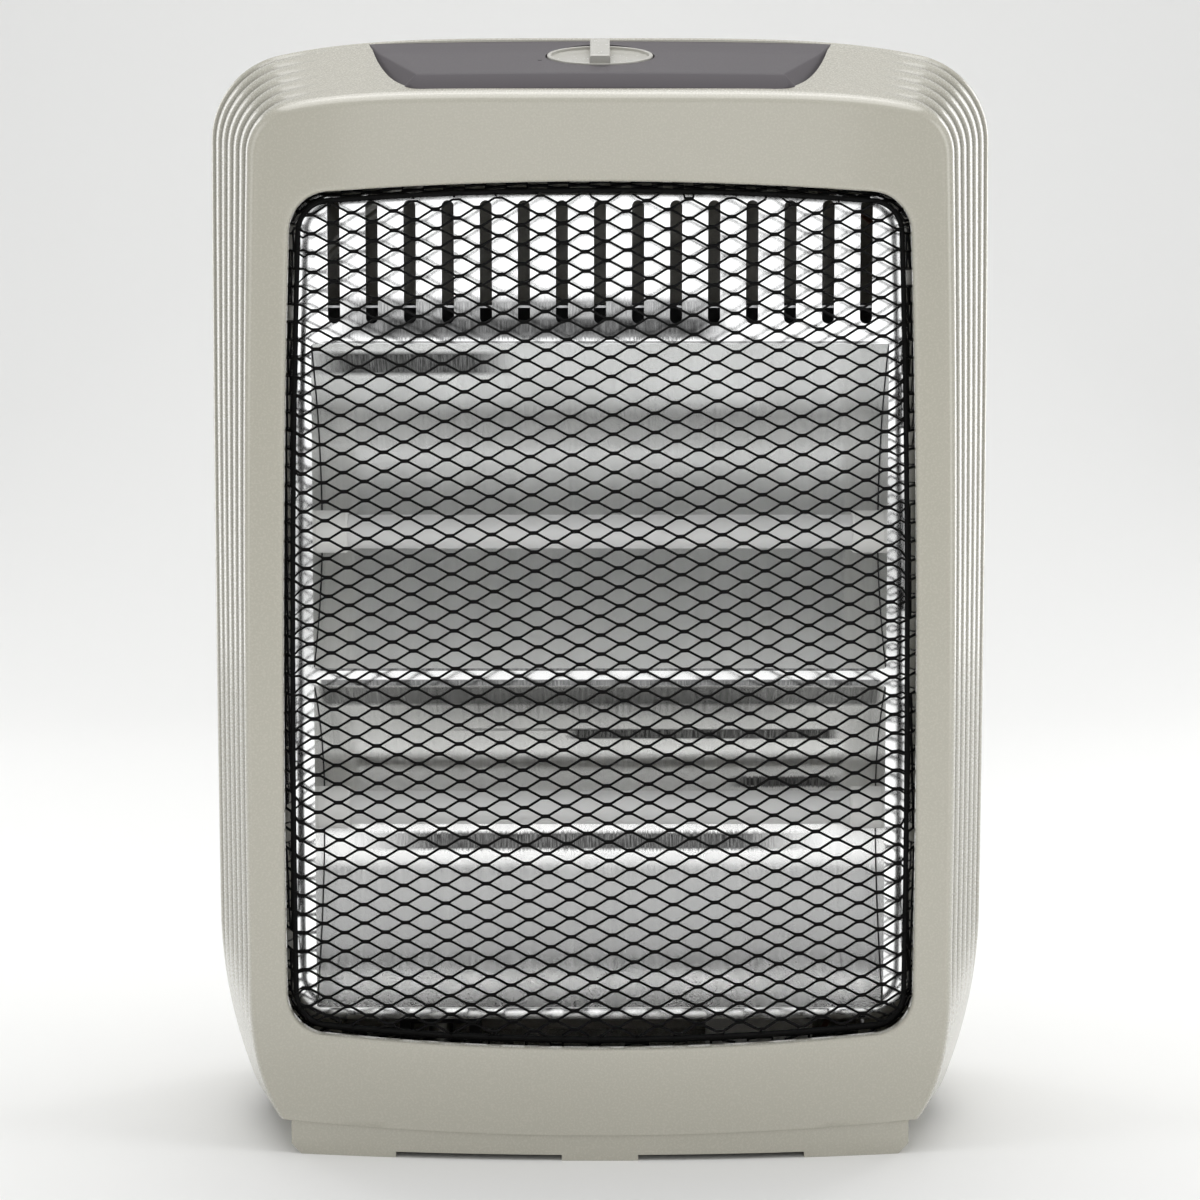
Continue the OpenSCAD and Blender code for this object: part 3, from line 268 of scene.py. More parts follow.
face_ring = whole(cover_outline(top=361.5, r=14.5, power=6, half_top=116, half_mid=120.5, half_low=119,
                                low_z=60, foot=(120, 25, 108.5), arch=3.0))
rim_ring = whole(cover_outline(top=388, r=31, power=4, half_top=138.2, half_mid=139.2, half_low=138.2,
                               low_z=72, foot=(137.5, 40, 125.5)))
window_ring = whole(window_outline())
rim_out = outward(rim_ring)
ring_n = len(face_ring)
wall, rim_depth, edge_round = 2.5, 70.0, 1.3
joint_gap, joint_ease = 0.1, 0.25
lip_width, lip_top, lip_extra, lip_from, lip_fade = 2.2, 4.0, 1.0, 70, 22

# The six grooves: how deep each cut is, and how it fades round the outline.
groove_pitch, groove_depth, first_groove, groove_end_fade = 9.3, 1.1, 19.8, 3.2
groove_s = first_groove + groove_pitch * np.arange(6)
groove_start = groove_s[0] - groove_pitch / 2
groove_top_x, groove_top_fade, groove_low_z, groove_low_fade = 96, 42, 48, 34
half_ring = rim_ring[:ring_n // 2 + 1]
run = np.concatenate([[0], np.cumsum(np.linalg.norm(np.diff(half_ring, axis=0), axis=1))])
groove_from = np.interp(groove_top_x, half_ring[:crown_n, 0], run[:crown_n])
groove_share = (smooth((run - groove_from) / groove_top_fade)
                * smooth((half_ring[:, 1] - groove_low_z) / groove_low_fade))
groove_share = np.concatenate([groove_share, groove_share[-2:0:-1]])


def groove_cut(s):
    """How deep the grooves are cut at a depth: ribs bulge outwards and meet in narrow valleys."""
    if s <= groove_start:
        return 0.0
    w = 2 * abs((s - groove_start) / groove_pitch % 1.0 - 0.5)
    fade = 1 - smooth((s - groove_s[-1]) / groove_end_fade) if s > groove_s[-1] else 1.0
    return groove_depth * (1 - w) ** 2 * fade


# The soft edge takes the first part of the depth, and a share of the widening.
edge_depth, edge_share, edge_pull = 0.086, 0.2, 0.25
soft_q = np.linspace(0, 1, 24)
soft_t, soft_g = edge_depth * soft_q ** 2, edge_pull * soft_q * (1 - soft_q) + edge_share * soft_q ** 2


def cover_section(s, face, rim, behind=0.0):
    """The cover's outline at a depth: a soft edge first, then a straight draft to the rim."""
    bowed = bow(face[:, 0]) + behind
    t = np.clip((s - bowed) / (rim_depth - bowed), 0, 1)
    draft = edge_share + (t - edge_depth) * (1 - edge_share) / (1 - edge_depth)
    share = np.where(t < edge_depth, np.interp(t, soft_t, soft_g), draft)
    return face + (rim - face) * share[:, None]


# The rings of the skin: from the face's edge back over the ribs to the joint,
# forward again along the inside, round the lip and outwards over the face.
face_bow = bow(face_ring[:, 0])
skin = []
for share in 1 - np.cos(np.linspace(0, np.pi / 2, 14)):
    depth = face_bow + (groove_start - 0.05 - face_bow) * share
    skin.append(upright(cover_section(depth, face_ring, rim_ring), depth))
stations = [first_groove - d for d in (4, 3, 2, 1.2, 0.6, 0.2, 0)]
for valley in groove_s[:-1]:
    stations += [valley + d for d in (0.2, 0.6, 1.2, 2.1, 3.3, 4.65, 6.0, 7.2, 8.1, 8.7, 9.1, 9.3)]
stations += [rim_depth - d for d in (3.5, 3.1, 2.5, 1.7, 0.8, 0.35)]
groove_mask = [np.zeros(ring_n)] * len(skin)
for s in stations:
    cut = groove_cut(s) * groove_share
    groove_mask.append(cut / groove_depth)
    skin.append(upright(cover_section(s, face_ring, rim_ring) - rim_out * cut[:, None], s))
skin.append(upright(rim_ring - rim_out * joint_ease, rim_depth - joint_gap))
inner_face, inner_rim = offset(face_ring, -wall), offset(rim_ring, -wall)
for s in (rim_depth - joint_gap, 50, 30, 17.2):
    skin.append(upright(cover_section(s, inner_face, inner_rim, wall), s))
skin.append(upright(inner_face, bow(inner_face[:, 0]) + wall + 0.8))
lip_outer = offset(window_ring, lip_width)
lip_depth = lip_top + lip_extra * smooth((lip_from - window_ring[:, 1]) / lip_fade)
for share in (0.0, 0.5, 1.0):
    ring = inner_face + (lip_outer - inner_face) * share
    skin.append(upright(ring, bow(ring[:, 0]) + wall))
skin.append(upright(lip_outer, bow(lip_outer[:, 0]) + lip_depth))
skin.append(upright(window_ring, bow(window_ring[:, 0]) + lip_depth))
for a in np.radians([90, 70, 50, 30, 15, 0]):
    ring = offset(window_ring, edge_round * (1 - math.sin(a)))
    skin.append(upright(ring, bow(ring[:, 0]) + edge_round * (1 - math.cos(a))))
window_edge = offset(window_ring, edge_round)
for share in (0.08, 0.25, 0.5, 0.75, 0.92):
    ring = window_edge + (face_ring - window_edge) * share
    skin.append(upright(ring, bow(ring[:, 0])))


def new_group(name, kind, inputs, outputs):
    """An empty node group with named inputs and outputs, and both ends of its wiring."""
    tree = bpy.data.node_groups.new(name, kind)
    for label, socket_kind, value in inputs:
        socket = tree.interface.new_socket(name=label, in_out="INPUT", socket_type="NodeSocket" + socket_kind)
        if value is not None:
            socket.default_value = value
    for label, socket_kind in outputs:
        tree.interface.new_socket(name=label, in_out="OUTPUT", socket_type="NodeSocket" + socket_kind)
    return tree, tree.nodes.new("NodeGroupInput").outputs, tree.nodes.new("NodeGroupOutput").inputs


def effect(name, inputs):
    """An empty shader group that puts out a colour, a roughness and a normal."""
    return new_group(name, "ShaderNodeTree", inputs,
                     [("Colour", "Color"), ("Roughness", "Float"), ("Normal", "Vector")])


def maths(tree, operation, *values):
    """A sum, product or other result of sockets and numbers."""
    return add(tree, "ShaderNodeMath", dict(enumerate(values)), operation=operation)["Value"]


def darker(tree, colour, share):
    """A share of a colour."""
    return add(tree, "ShaderNodeVectorMath", {0: colour, "Scale": share}, operation="SCALE")["Vector"]


def spread(tree, value, start, end, low, high):
    """A value between start and end carried over to a new range."""
    return add(tree, "ShaderNodeMapRange", {"Value": value, "From Min": start, "From Max": end,
                                            "To Min": low, "To Max": high})["Result"]


def varied(tree, value, low, high):
    """A noise value spread over a range."""
    return spread(tree, value, 0.3, 0.7, low, high)


moulded, given, out = effect("moulded_grain", [
    ("Colour", "Color", (0.5, 0.5, 0.5, 1)), ("Roughness", "Float", 0.4),
    ("Grain scale", "Float", 1500.0), ("Grain depth", "Float", 0.1), ("Painted groove shade", "Float", 0.0)])
place = object_place(moulded)
fine = noise(moulded, place, given["Grain scale"], 3.0)
slow = noise(moulded, place, 9.0)
# Painted shade: the colour is darkened by the groove attribute, most in the valleys of the side grooves.
groove = add(moulded, "ShaderNodeAttribute", attribute_name="groove")["Fac"]
groove = maths(moulded, "MULTIPLY", groove, given["Painted groove shade"])
kept = maths(moulded, "SUBTRACT", varied(moulded, slow, 0.98, 1.01), groove)
shine = maths(moulded, "MULTIPLY", given["Roughness"], varied(moulded, fine, 0.94, 1.06))
moulded.links.new(darker(moulded, given["Colour"], kept), out["Colour"])
moulded.links.new(shine, out["Roughness"])
moulded.links.new(bumped(moulded, fine, given["Grain depth"], 0.0002), out["Normal"])


def finished(name, group, values, metallic=0.0, coat=0.0, specular=0.5):
    """A material whose colour, roughness and normal come from an effect."""
    material, tree, shader = blank_material(name)
    made = tree.nodes.new("ShaderNodeGroup")
    made.node_tree = group
    for label, value in values.items():
        made.inputs[label].default_value = value
    for label, socket in (("Colour", "Base Color"), ("Roughness", "Roughness"), ("Normal", "Normal")):
        tree.links.new(made.outputs[label], shader[socket])
    for label, value in (("Metallic", metallic), ("Specular IOR Level", specular), ("Coat Weight", coat),
                         ("Coat Roughness", 0.12)):
        shader[label].default_value = value
    return material


def plastic(name, colour, roughness, scale, depth, groove=0.0, **more):
    """A moulded plastic, rubber, ceramic or paint, with its grain, and painted shade in its grooves if groove
    is given.
    """
    return finished(name, moulded, {"Colour": (*colour, 1), "Roughness": roughness, "Grain scale": scale,
                                    "Grain depth": depth, "Painted groove shade": groove}, **more)


# The ivory carries painted shade in the valleys of its side grooves.
ivory_plastic = plastic("ivory_plastic", (0.425, 0.409, 0.345), 0.27, 1400.0, 0.012, groove=0.62, coat=0.5)
front_shell = mesh_piece("front_shell", np.concatenate(skin), tube_faces(len(skin), ring_n, closed=True),
                         ivory_plastic, "heater", "front_cover", "body_plastic")
# Each point keeps how deep in a groove it lies, for the painted shade that darkens the plastic in the
# valleys.
groove_mask += [np.zeros(ring_n)] * (len(skin) - len(groove_mask))
groove_values = front_shell.data.attributes.new("groove", "FLOAT", "POINT").data
groove_values.foreach_set("value", np.concatenate(groove_mask))


# ---- Control panel ----
# A separate moulding of fine-grained grey plastic, let into the top of the
# front cover: it slopes up to the back, has a bevel along its bowed front and
# its ends, and a round well for the knob.
panel_tilt = math.radians(13)
panel_front, panel_back, panel_half, panel_sill, panel_floor = 12, 68.0, 82, 6.8, 356.0
panel_z, panel_crown, panel_rise, rise_from, rise_run = 372.6, 1.1, 1.3, 54, 15
face_half, face_corner_s, face_back_x, face_back_s, face_middle = 62, 15.2, 81.8, 67.6, np.array([0, 40])


def panel_height(x, s):
    """Height of the panel's face: it slopes, is crowned across, and turns up a little at the back."""
    crown = panel_crown - 0.5 * np.clip((s - panel_front) / (panel_back - panel_front), 0, 1)
    slope = (s - panel_front) * math.tan(panel_tilt)
    return panel_z + slope + panel_rise * smooth((s - rise_from) / rise_run) - crown * (x / face_half) ** 2


def through(stops, count):
    """A smooth line through all the stops, without the first one."""
    t = np.linspace(0, len(stops) - 1, count)[1:]
    k = np.clip(t.astype(int), 0, len(stops) - 2)
    p0, p1, p2, p3 = (stops[np.clip(k + d, 0, len(stops) - 1)] for d in (-1, 0, 1, 2))
    f = (t - k)[:, None]
    return 0.5 * (2 * p1 + (p2 - p0) * f + (2 * p0 - 5 * p1 + 4 * p2 - p3) * f ** 2
                  + (3 * p1 - p0 - 3 * p2 + p3) * f ** 3)


# The plan of the panel as x and depth: its back, its bulging end, its front.
end_stops = [(panel_half, panel_back), (80.6, 59.5), (79.2, 51.5), (77.8, 44.5), (76.2, 37.8), (74.5, 31.6),
             (72.7, 26), (70.8, 21.3), (68.8, 17.5), (66.8, 14.6), (64.7, 12.4), (62.5, 10.8), (60, 9.85),
             (56, 9.44)]
front_x = end_stops[-1][0] * (1 - np.arange(1, 25) / 24)
plan_half = np.concatenate([np.stack([np.linspace(0, panel_half, 16), np.full(16, panel_back)], 1),
                            through(np.array(end_stops), 60),
                            np.stack([front_x, panel_sill + bow(front_x)], 1)])
# The edge of its face: behind the bevel at the front, beside it at the ends.
x, s = plan_half[:, 0], plan_half[:, 1]
at_back = s >= panel_back - 0.1
top_s = np.where(at_back, face_back_s, np.maximum(s, panel_front + bow(x)))
end_x = face_half + (top_s - face_corner_s) * (face_back_x - face_half) / (panel_back - face_corner_s)
top_x = np.where(s > face_corner_s, end_x, x * face_half / (face_half + 2))
top_x = np.where(at_back, np.minimum(x, face_back_x), top_x)
top_x = np.minimum(top_x, end_x)
plan, plan_top = whole(plan_half), whole(np.stack([top_x, top_s], 1))


def level(ring, z):
    """A ring of x and depth, set at a height."""
    return np.stack([ring[:, 0], ring[:, 1], np.broadcast_to(z, (len(ring),))], 1)


bevel = np.linalg.norm(plan_top - plan, axis=1)
inwards = (plan_top - plan) / np.maximum(bevel, 1e-6)[:, None]
top_z = panel_height(plan_top[:, 0], plan_top[:, 1])
foot_z = top_z - bevel
# The rings of its skin: up the wall, over the bevel and its two rounded edges,
# then across the face towards a short line in the middle.
panel_ease = 0.45
nib = np.minimum(bevel, panel_ease)
rings = [level(plan, panel_floor), level(plan, foot_z - panel_ease),
         level(plan + inwards * 0.12, foot_z - 0.12), level(plan + inwards * nib[:, None], foot_z + nib)]
broad = bevel > 2 * panel_ease
for step, fall in ((-0.5, 0.5), (-0.2, 0.24)):
    ring = plan_top + inwards * np.where(broad, step, 0)[:, None]
    rings.append(level(ring, top_z - np.where(broad, fall, 0.02)))
for step, fall in ((0.2, 0.06), (0.6, 0.0)):
    ring = plan_top + inwards * step
    rings.append(level(ring, panel_height(ring[:, 0], ring[:, 1]) - np.where(broad, fall, 0.02)))
inmost = face_middle + (plan_top - face_middle) * (0.35, 0)
for share in (0.1, 0.25, 0.4, 0.55, 0.7, 0.82, 0.92):
    ring = plan_top + (inmost - plan_top) * share
    rings.append(level(ring, panel_height(ring[:, 0], ring[:, 1])))
panel_plastic = plastic("panel_plastic", (0.090, 0.082, 0.089), 0.5, 1800.0, 0.05, specular=0.15)
panel = mesh_piece("panel", np.concatenate(rings), tube_faces(len(rings), len(plan), capped=True),
                   panel_plastic, "heater", "control_panel", "panel_plastic", sharp=30)

knob_depth = 45.0
knob_height = panel_z + (knob_depth - panel_front) * math.tan(panel_tilt)


def at_knob(points):
    """Points in the knob's own frame, Z along its shaft, set on the panel."""
    points = np.asarray(points, float)
    c, n = math.cos(panel_tilt), math.sin(panel_tilt)
    return np.stack([points[:, 0], knob_depth + points[:, 1] * c - points[:, 2] * n,
                     knob_height + points[:, 1] * n + points[:, 2] * c], 1)


def turned(profile, n=96):
    """A solid turned about Z from pairs of radius and height."""
    a = np.arange(n) * 2 * math.pi / n
    rings = [np.stack([r * np.cos(a), r * np.sin(a), np.full(n, z)], 1) for r, z in profile]
    return np.concatenate(rings), tube_faces(len(profile), n, capped=True)


def baked(piece):
    """The piece's evaluated modifiers made its own plain mesh."""
    made = bpy.data.meshes.new_from_object(piece.evaluated_get(bpy.context.evaluated_depsgraph_get()))
    piece.modifiers.clear()
    piece.data = made
    return piece


def carve(piece, points, faces, operation="DIFFERENCE"):
    """Cuts a solid away from a piece, or joins it on."""
    tool = mesh_piece("tool", points, faces, piece.data.materials[0])
    modifier = piece.modifiers.new("carve", "BOOLEAN")
    modifier.operation = operation
    modifier.solver = "EXACT"
    modifier.object = tool
    baked(piece)
    bpy.data.objects.remove(tool)


knob_well, shaft_hole = (19.0, -1.5, 8), (7.4, -40, 5)  # radius, lowest and highest
for radius, low, high in (knob_well, shaft_hole):
    points, faces = turned([(radius, low), (radius, high)])
    carve(panel, at_knob(points), faces)
dress(panel, sharp=30)


def cover_top(x, s):
    """Height of the cover's upper skin, between its corners."""
    section = cover_section(s, face_ring, rim_ring)
    section = section[(abs(section[:, 0]) < 105) & (section[:, 1] > 300)]
    order = np.argsort(section[:, 0])
    return np.interp(x, section[order, 0], section[order, 1])


# The pocket in the cover: a narrow gap round the panel, its edge eased in front.
panel_gap, pocket_floor, flare_end, flare_fade = 0.3, 354.3, 60, 6
skin_z = np.array([cover_top(px, ps) for px, ps in plan])
flare = (1 - smooth((plan[:, 1] - flare_end) / flare_fade))[:, None]
mirror = (1, -1)
pocket = [level(offset(plan * mirror, panel_gap) * mirror, pocket_floor)]
for step, rise in ((0.0, -0.55), (0.04, -0.25), (0.15, -0.08), (0.32, 0.02), (0.6, 0.2)):
    pocket.append(level(offset(plan * mirror, panel_gap + step * flare) * mirror, skin_z + rise))
pocket.append(level(pocket[-1][:, :2], 400))
carve(front_shell, np.concatenate(pocket), tube_faces(len(pocket), len(plan), capped=True))
dress(front_shell)


def together(solids):
    """Several solids as one list of points and faces."""
    points, faces, start = [], [], 0
    for solid_points, solid_faces in solids:
        points.append(solid_points)
        faces += [[i + start for i in face] for face in solid_faces]
        start += len(solid_points)
    return np.concatenate(points), faces


# Two small position marks printed beside the knob, in dark ink.
mark_ink = plastic("mark_ink", (0.03, 0.028, 0.03), 0.5, 2500.0, 0.05)
marks = []
for px, py, half_x, half_y in ((0, -21.5, 1.9, 1.0), (-20.7, -8.2, 0.8, 0.8)):
    points, faces = turned([(1.0, -0.2), (1.0, 0.02), (0.9, 0.05)], 24)
    marks.append((at_knob(points * (half_x, half_y, 1) + (px, py, 0)), faces))
mesh_piece("position_marks", *together(marks), mark_ink, "heater")

# ---- Selector knob ----
# A glossy pale moulding with a shallow dish, a thin raised rim and a square
# grip bar across it, pushed onto the switch shaft.
knob_r, rim_round, rim_inner = 18.4, 0.4, 1.1
knob_plastic = plastic("knob_plastic", (0.44, 0.43, 0.39), 0.26, 900.0, 0.01, coat=0.15)
quarter = np.linspace(0, math.pi / 2, 5)
dish = [(knob_r - rim_round, -1.35), (knob_r, -1.1), (knob_r, 0.1)]
dish += [(knob_r - rim_round + rim_round * math.cos(a), 0.1 + rim_round * math.sin(a)) for a in quarter[1:]]
dish += [(knob_r - rim_inner - 0.3 * math.sin(a), 0.2 + 0.3 * math.cos(a)) for a in quarter]
dish += [(knob_r - 1.6, -0.45), (knob_r - 2.6, -0.85), (knob_r - 5.0, -1.05), (6.0, -1.1), (2.0, -1.1)]
points, faces = turned(dish)
mesh_piece("knob_disc", at_knob(points), faces, knob_plastic, "knob", "selector_knob", "knob_plastic",
           sharp=50)

bar_half, bar_top, bar_low, bar_round, bar_end, bar_slope, bar_n = 3.5, 3.4, -1.2, 0.8, 17.7, 1.7, 41
sections = []
for y in np.linspace(-bar_end, bar_end, bar_n):
    half = min(bar_half, math.sqrt((knob_r - 0.3) ** 2 - y * y))
    top = bar_top - 0.35 * (max(abs(y) - (bar_end - bar_slope), 0) / bar_slope) ** 2
    side = [(half + 0.25, bar_low), (half + 0.05, 0.6)]
    side += [(half - bar_round + bar_round * math.cos(a), top - bar_round + bar_round * math.sin(a))
             for a in quarter]
    sections.append([(px, y, pz) for px, pz in side] + [(-px, y, pz) for px, pz in reversed(side)])
mesh_piece("knob_bar", at_knob(np.concatenate(sections)), tube_faces(bar_n, len(sections[0]), capped=True),
           knob_plastic, "knob", None, "knob_plastic", sharp=50)

# ---- Rear cover ----
# The deep half of the body, of the same plastic: it draws in gently towards a
# flat back with two rows of vent slots, a hand grip, four screw wells and the
# round hole of the cord's gland.
back_depth = 146.0
back_len = back_depth - rim_depth
back_ring = whole(cover_outline(top=366, r=27, power=4, half_top=117, half_mid=118, half_low=117, low_z=72,
                                foot=(116, 40, 111)))
inner_back = offset(back_ring, -wall)
draw_in_curve = np.array([(0, 0), (0.45, 0.12), (1, 0.45), (1, 1)])


def draw_in(q):
    """Along the cover: how far back, and how much of the way to the back's outline."""
    return np.array([(1 - q) ** 3, 3 * q * (1 - q) ** 2, 3 * q * q * (1 - q), q ** 3]) @ draw_in_curve


# The rings of the shell: forward along the inside, round the joint, then back.
shell = []
for q in np.linspace(1, 0, 12):
    back, share = draw_in(q)
    shell.append(upright(inner_rim + (inner_back - inner_rim) * share,
                         rim_depth + joint_gap + (back_len - wall - joint_gap) * back))
shell += [upright(rim_ring - rim_out * joint_ease, rim_depth + joint_gap), upright(rim_ring, rim_depth + 0.4)]
for q in np.linspace(0.03, 1, 30):
    back, share = draw_in(q)
    shell.append(upright(rim_ring + (back_ring - rim_ring) * share, rim_depth + back_len * back))
rear_shell = mesh_piece("rear_shell", np.concatenate(shell), tube_faces(len(shell), ring_n, capped=True),
                        ivory_plastic, "heater", "rear_cover", "body_plastic")


def prism(ring, s0, s1):
    """A solid over an outline of x and height, between two depths."""
    return np.concatenate([upright(ring, s0), upright(ring, s1)]), tube_faces(2, len(ring), capped=True)


def round_box(x0, x1, z0, z1, r, n=8):
    """A clockwise outline of a box with round corners."""
    corners = []
    left, right, low, high = x0 + r, x1 - r, z0 + r, z1 - r
    for cx, cz, start in ((right, high, 0), (left, high, 90), (left, low, 180), (right, low, 270)):
        a = np.radians(start + np.linspace(0, 90, n + 1))
        corners.append(np.stack([cx + r * np.cos(a), cz + r * np.sin(a)], 1))
    return np.concatenate(corners)[::-1]


def disc(x, z, r, n=40):
    """A clockwise circle."""
    a = -np.arange(n) * 2 * math.pi / n
    return np.stack([x + r * np.cos(a), z + r * np.sin(a)], 1)


def shape_tree(name, inputs):
    """An empty Geometry Nodes tree with named inputs."""
    return new_group(name, "GeometryNodeTree", [("Geometry", "Geometry", None), *inputs],
                     [("Geometry", "Geometry")])


def shaped(piece, tree, **values):
    """Runs a tree over a piece's mesh and keeps the result as its plain mesh."""
    modifier = piece.modifiers.new(tree.name, "NODES")
    modifier.node_group = tree
    for item in tree.interface.items_tree:
        key = item.name.lower().replace(" ", "_")
        if item.in_out == "INPUT" and key in values:
            modifier[item.identifier] = values[key]
    return baked(piece)


def realized(tree, shape, material):
    """The end of a tree: instances made real, then the material."""
    real = add(tree, "GeometryNodeRealizeInstances", {"Geometry": shape})["Geometry"]
    return add(tree, "GeometryNodeSetMaterial", {"Geometry": real, "Material": material})["Geometry"]


def joined(tree, *parts):
    """Several shapes as one."""
    join = tree.nodes.new("GeometryNodeJoinGeometry")
    for part in parts:
        tree.links.new(part, join.inputs["Geometry"])
    return join.outputs["Geometry"]


slot_row, given, out = shape_tree("slot_row", [
    ("Slots", "Int", 11), ("Pitch", "Float", 0.014), ("Width", "Float", 0.004), ("Height", "Float", 0.036),
    ("Through", "Float", 0.012), ("First", "Vector", (0, 0, 0)), ("Finish", "Material", None)])
outline = add(slot_row, "GeometryNodeCurvePrimitiveQuadrilateral",
              {"Width": given["Width"], "Height": given["Height"]})["Curve"]
radius = maths(slot_row, "MULTIPLY", given["Width"], 0.499)
outline = add(slot_row, "GeometryNodeFilletCurve", {"Curve": outline, "Count": 8, "Radius": radius},
              mode="POLY")["Curve"]
sole = add(slot_row, "GeometryNodeFillCurve", {"Curve": outline}, mode="NGONS")["Mesh"]
push = add(slot_row, "ShaderNodeCombineXYZ", {"Z": given["Through"]})["Vector"]
grown = add(slot_row, "GeometryNodeExtrudeMesh", {"Mesh": sole, "Offset": push, "Individual": False})["Mesh"]
flipped = add(slot_row, "GeometryNodeFlipFaces", {"Mesh": sole})["Mesh"]
closed = add(slot_row, "GeometryNodeMergeByDistance",
             {"Geometry": joined(slot_row, grown, flipped), "Distance": 1e-6})["Geometry"]
turned_up = add(slot_row, "GeometryNodeTransform",
                {"Geometry": closed, "Rotation": (math.radians(90), 0, 0)})["Geometry"]
stride = add(slot_row, "ShaderNodeCombineXYZ", {"X": given["Pitch"]})["Vector"]
line = add(slot_row, "GeometryNodeMeshLine", {"Count": given["Slots"], "Start Location": given["First"],
                                              "Offset": stride})["Mesh"]
cutters = add(slot_row, "GeometryNodeInstanceOnPoints", {"Points": line, "Instance": turned_up})["Instances"]
cutters = add(slot_row, "GeometryNodeRealizeInstances", {"Geometry": cutters})["Geometry"]
opened = add(slot_row, "GeometryNodeMeshBoolean", {"Mesh 1": given["Geometry"], "Mesh 2": cutters},
             operation="DIFFERENCE", solver="EXACT")["Mesh"]
slot_row.links.new(realized(slot_row, opened, given["Finish"]), out["Geometry"])

# The grip, the wells and the gland's seat grow inwards from the back, then each
# is hollowed from behind and the screws and the gland get their holes.
sides = (-1, 1)
grip_half, grip_low, grip_high, grip_r, grip_wall, grip_floor = 50, 318, 342, 4, 2, 124
well_spots = [(side * px, pz) for side in sides for px, pz in ((100, 28), (105, 346))]
well_r, well_outer, well_start, well_floor, screw_hole, hole_start = 3.6, 5.5, 70.3, 78, 1.8, 60
gland_spot, gland_outer, gland_r, gland_hole = (80, 40), 10.5, 8.8, 6.3
gland_start, gland_floor, gland_hole_start = 140.5, 143, 130
in_back, past_back = back_depth - 0.8, back_depth + 4


def grip_box(wider):
    """The outline of the hand grip, or of the box around it."""
    return round_box(-grip_half - wider, grip_half + wider, grip_low - wider, grip_high + wider,
                     grip_r + wider)


seats = [prism(grip_box(grip_wall), grip_floor - grip_wall, in_back),
         *(prism(disc(*spot, well_outer), well_start, in_back) for spot in well_spots),
         prism(disc(*gland_spot, gland_outer), gland_start, in_back)]
hollows = [prism(grip_box(0), grip_floor, past_back),
           *(prism(disc(*spot, well_r), well_floor, past_back) for spot in well_spots),
           prism(disc(*gland_spot, gland_r), gland_floor, past_back)]
holes = [*(prism(disc(*spot, screw_hole, 24), hole_start, well_floor + 1) for spot in well_spots),
         prism(disc(*gland_spot, gland_hole), gland_hole_start, gland_floor + 1)]
carve(rear_shell, *together(seats), operation="UNION")
carve(rear_shell, *together(hollows))
carve(rear_shell, *together(holes))
vent_n, vent_pitch, vent_width, vent_high = 11, 0.014, 0.004, 0.036
for vent_low in (0.100, 0.250):
    shaped(rear_shell, slot_row, slots=vent_n, pitch=vent_pitch, width=vent_width, height=vent_high,
           through=0.012, finish=ivory_plastic,
           first=(-(vent_n - 1) / 2 * vent_pitch, 0.077, vent_low + vent_high / 2))
dress(rear_shell)


# ---- Base ----
# A low plinth in the body's plastic, with a chamfered lower edge; it stands on
# three pads along the front and two at the back corners. Its edges are rounded,
# and the front of its top reaches up under the cover's arch.
plinth_round, plinth_rise, plinth_front = 0.0007, 0.0025, -0.048
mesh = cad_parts["base"].data.copy()
bm = bmesh.new()
bm.from_mesh(mesh)
top = max(vertex.co.z for vertex in bm.verts) - 1e-5
for vertex in bm.verts:
    if vertex.co.z > top and vertex.co.y < plinth_front:
        vertex.co.z += plinth_rise
bmesh.ops.remove_doubles(bm, verts=bm.verts, dist=2e-6)
bmesh.ops.dissolve_limit(bm, angle_limit=math.radians(0.6), verts=bm.verts, edges=bm.edges)
edges = [e for e in bm.edges if len(e.link_faces) == 2 and e.calc_face_angle() > math.radians(25)]
bmesh.ops.bevel(bm, geom=edges, offset=plinth_round, offset_type="OFFSET", segments=3, profile=0.5,
                affect="EDGES", clamp_overlap=True)
bm.to_mesh(mesh)
bm.free()
mesh.materials.clear()
mesh.materials.append(ivory_plastic)
mesh.polygons.foreach_set("material_index", [0] * len(mesh.polygons))
dress(placed("plinth", mesh), "heater", "base")

# ---- Guard ----
# Black-painted expanded metal: rows of bent strands that meet at their
# knuckles, cut to a blank and pressed into a bowed pan, whose wall and flange
# sit behind the window's lip. Along the bend the strands are crushed together.
strand_w, strand_t, mesh_long, mesh_short = 0.60, 0.68, 14.25, 6.5
row_overlap, knuckle, corner_soft = 0.27, 0.075, 0.06
blank_turn, blank_edge, blank_middle = math.radians(2.3), 15.2, (0, 187.5)
pan_inset, pan_face, pan_turn, pan_r, pan_wall, flange_r = 4.6, 3.2, math.radians(72), 2.4, 10.3, 1.2
pan_arc, flange_arc = pan_r * pan_turn, flange_r * pan_turn


def strand_wave(x):
    """Height along a strand: straight slopes between short flats at the knuckles."""
    q = np.mod(x / mesh_long, 1.0)
    rise = np.clip((np.abs(q - 0.5) - knuckle) / (0.5 - 2 * knuckle), 0, 1)
    rise = np.where(rise < corner_soft, rise ** 2 / (2 * corner_soft), rise - corner_soft / 2)
    rise = np.minimum(rise, 1 - corner_soft)
    return (mesh_short / 4 - row_overlap) * (2 * rise / (1 - corner_soft) - 1)


def pan_profile(e):
    """Where a point of the blank that lies e beyond the bend ends up: outward and backward."""
    a = min(e, pan_arc) / pan_r
    out, back = pan_r * math.sin(a), pan_r * (1 - math.cos(a))
    e -= pan_arc
    if e > 0:
        out += min(e, pan_wall) * math.cos(pan_turn)
        back += min(e, pan_wall) * math.sin(pan_turn)
        e -= pan_wall
    if e > 0:
        a = min(e / flange_r, pan_turn)
        out += flange_r * (math.sin(pan_turn) - math.sin(pan_turn - a)) + max(e - flange_arc, 0)
        back += flange_r * (math.cos(pan_turn - a) - math.cos(pan_turn))
    return out, back


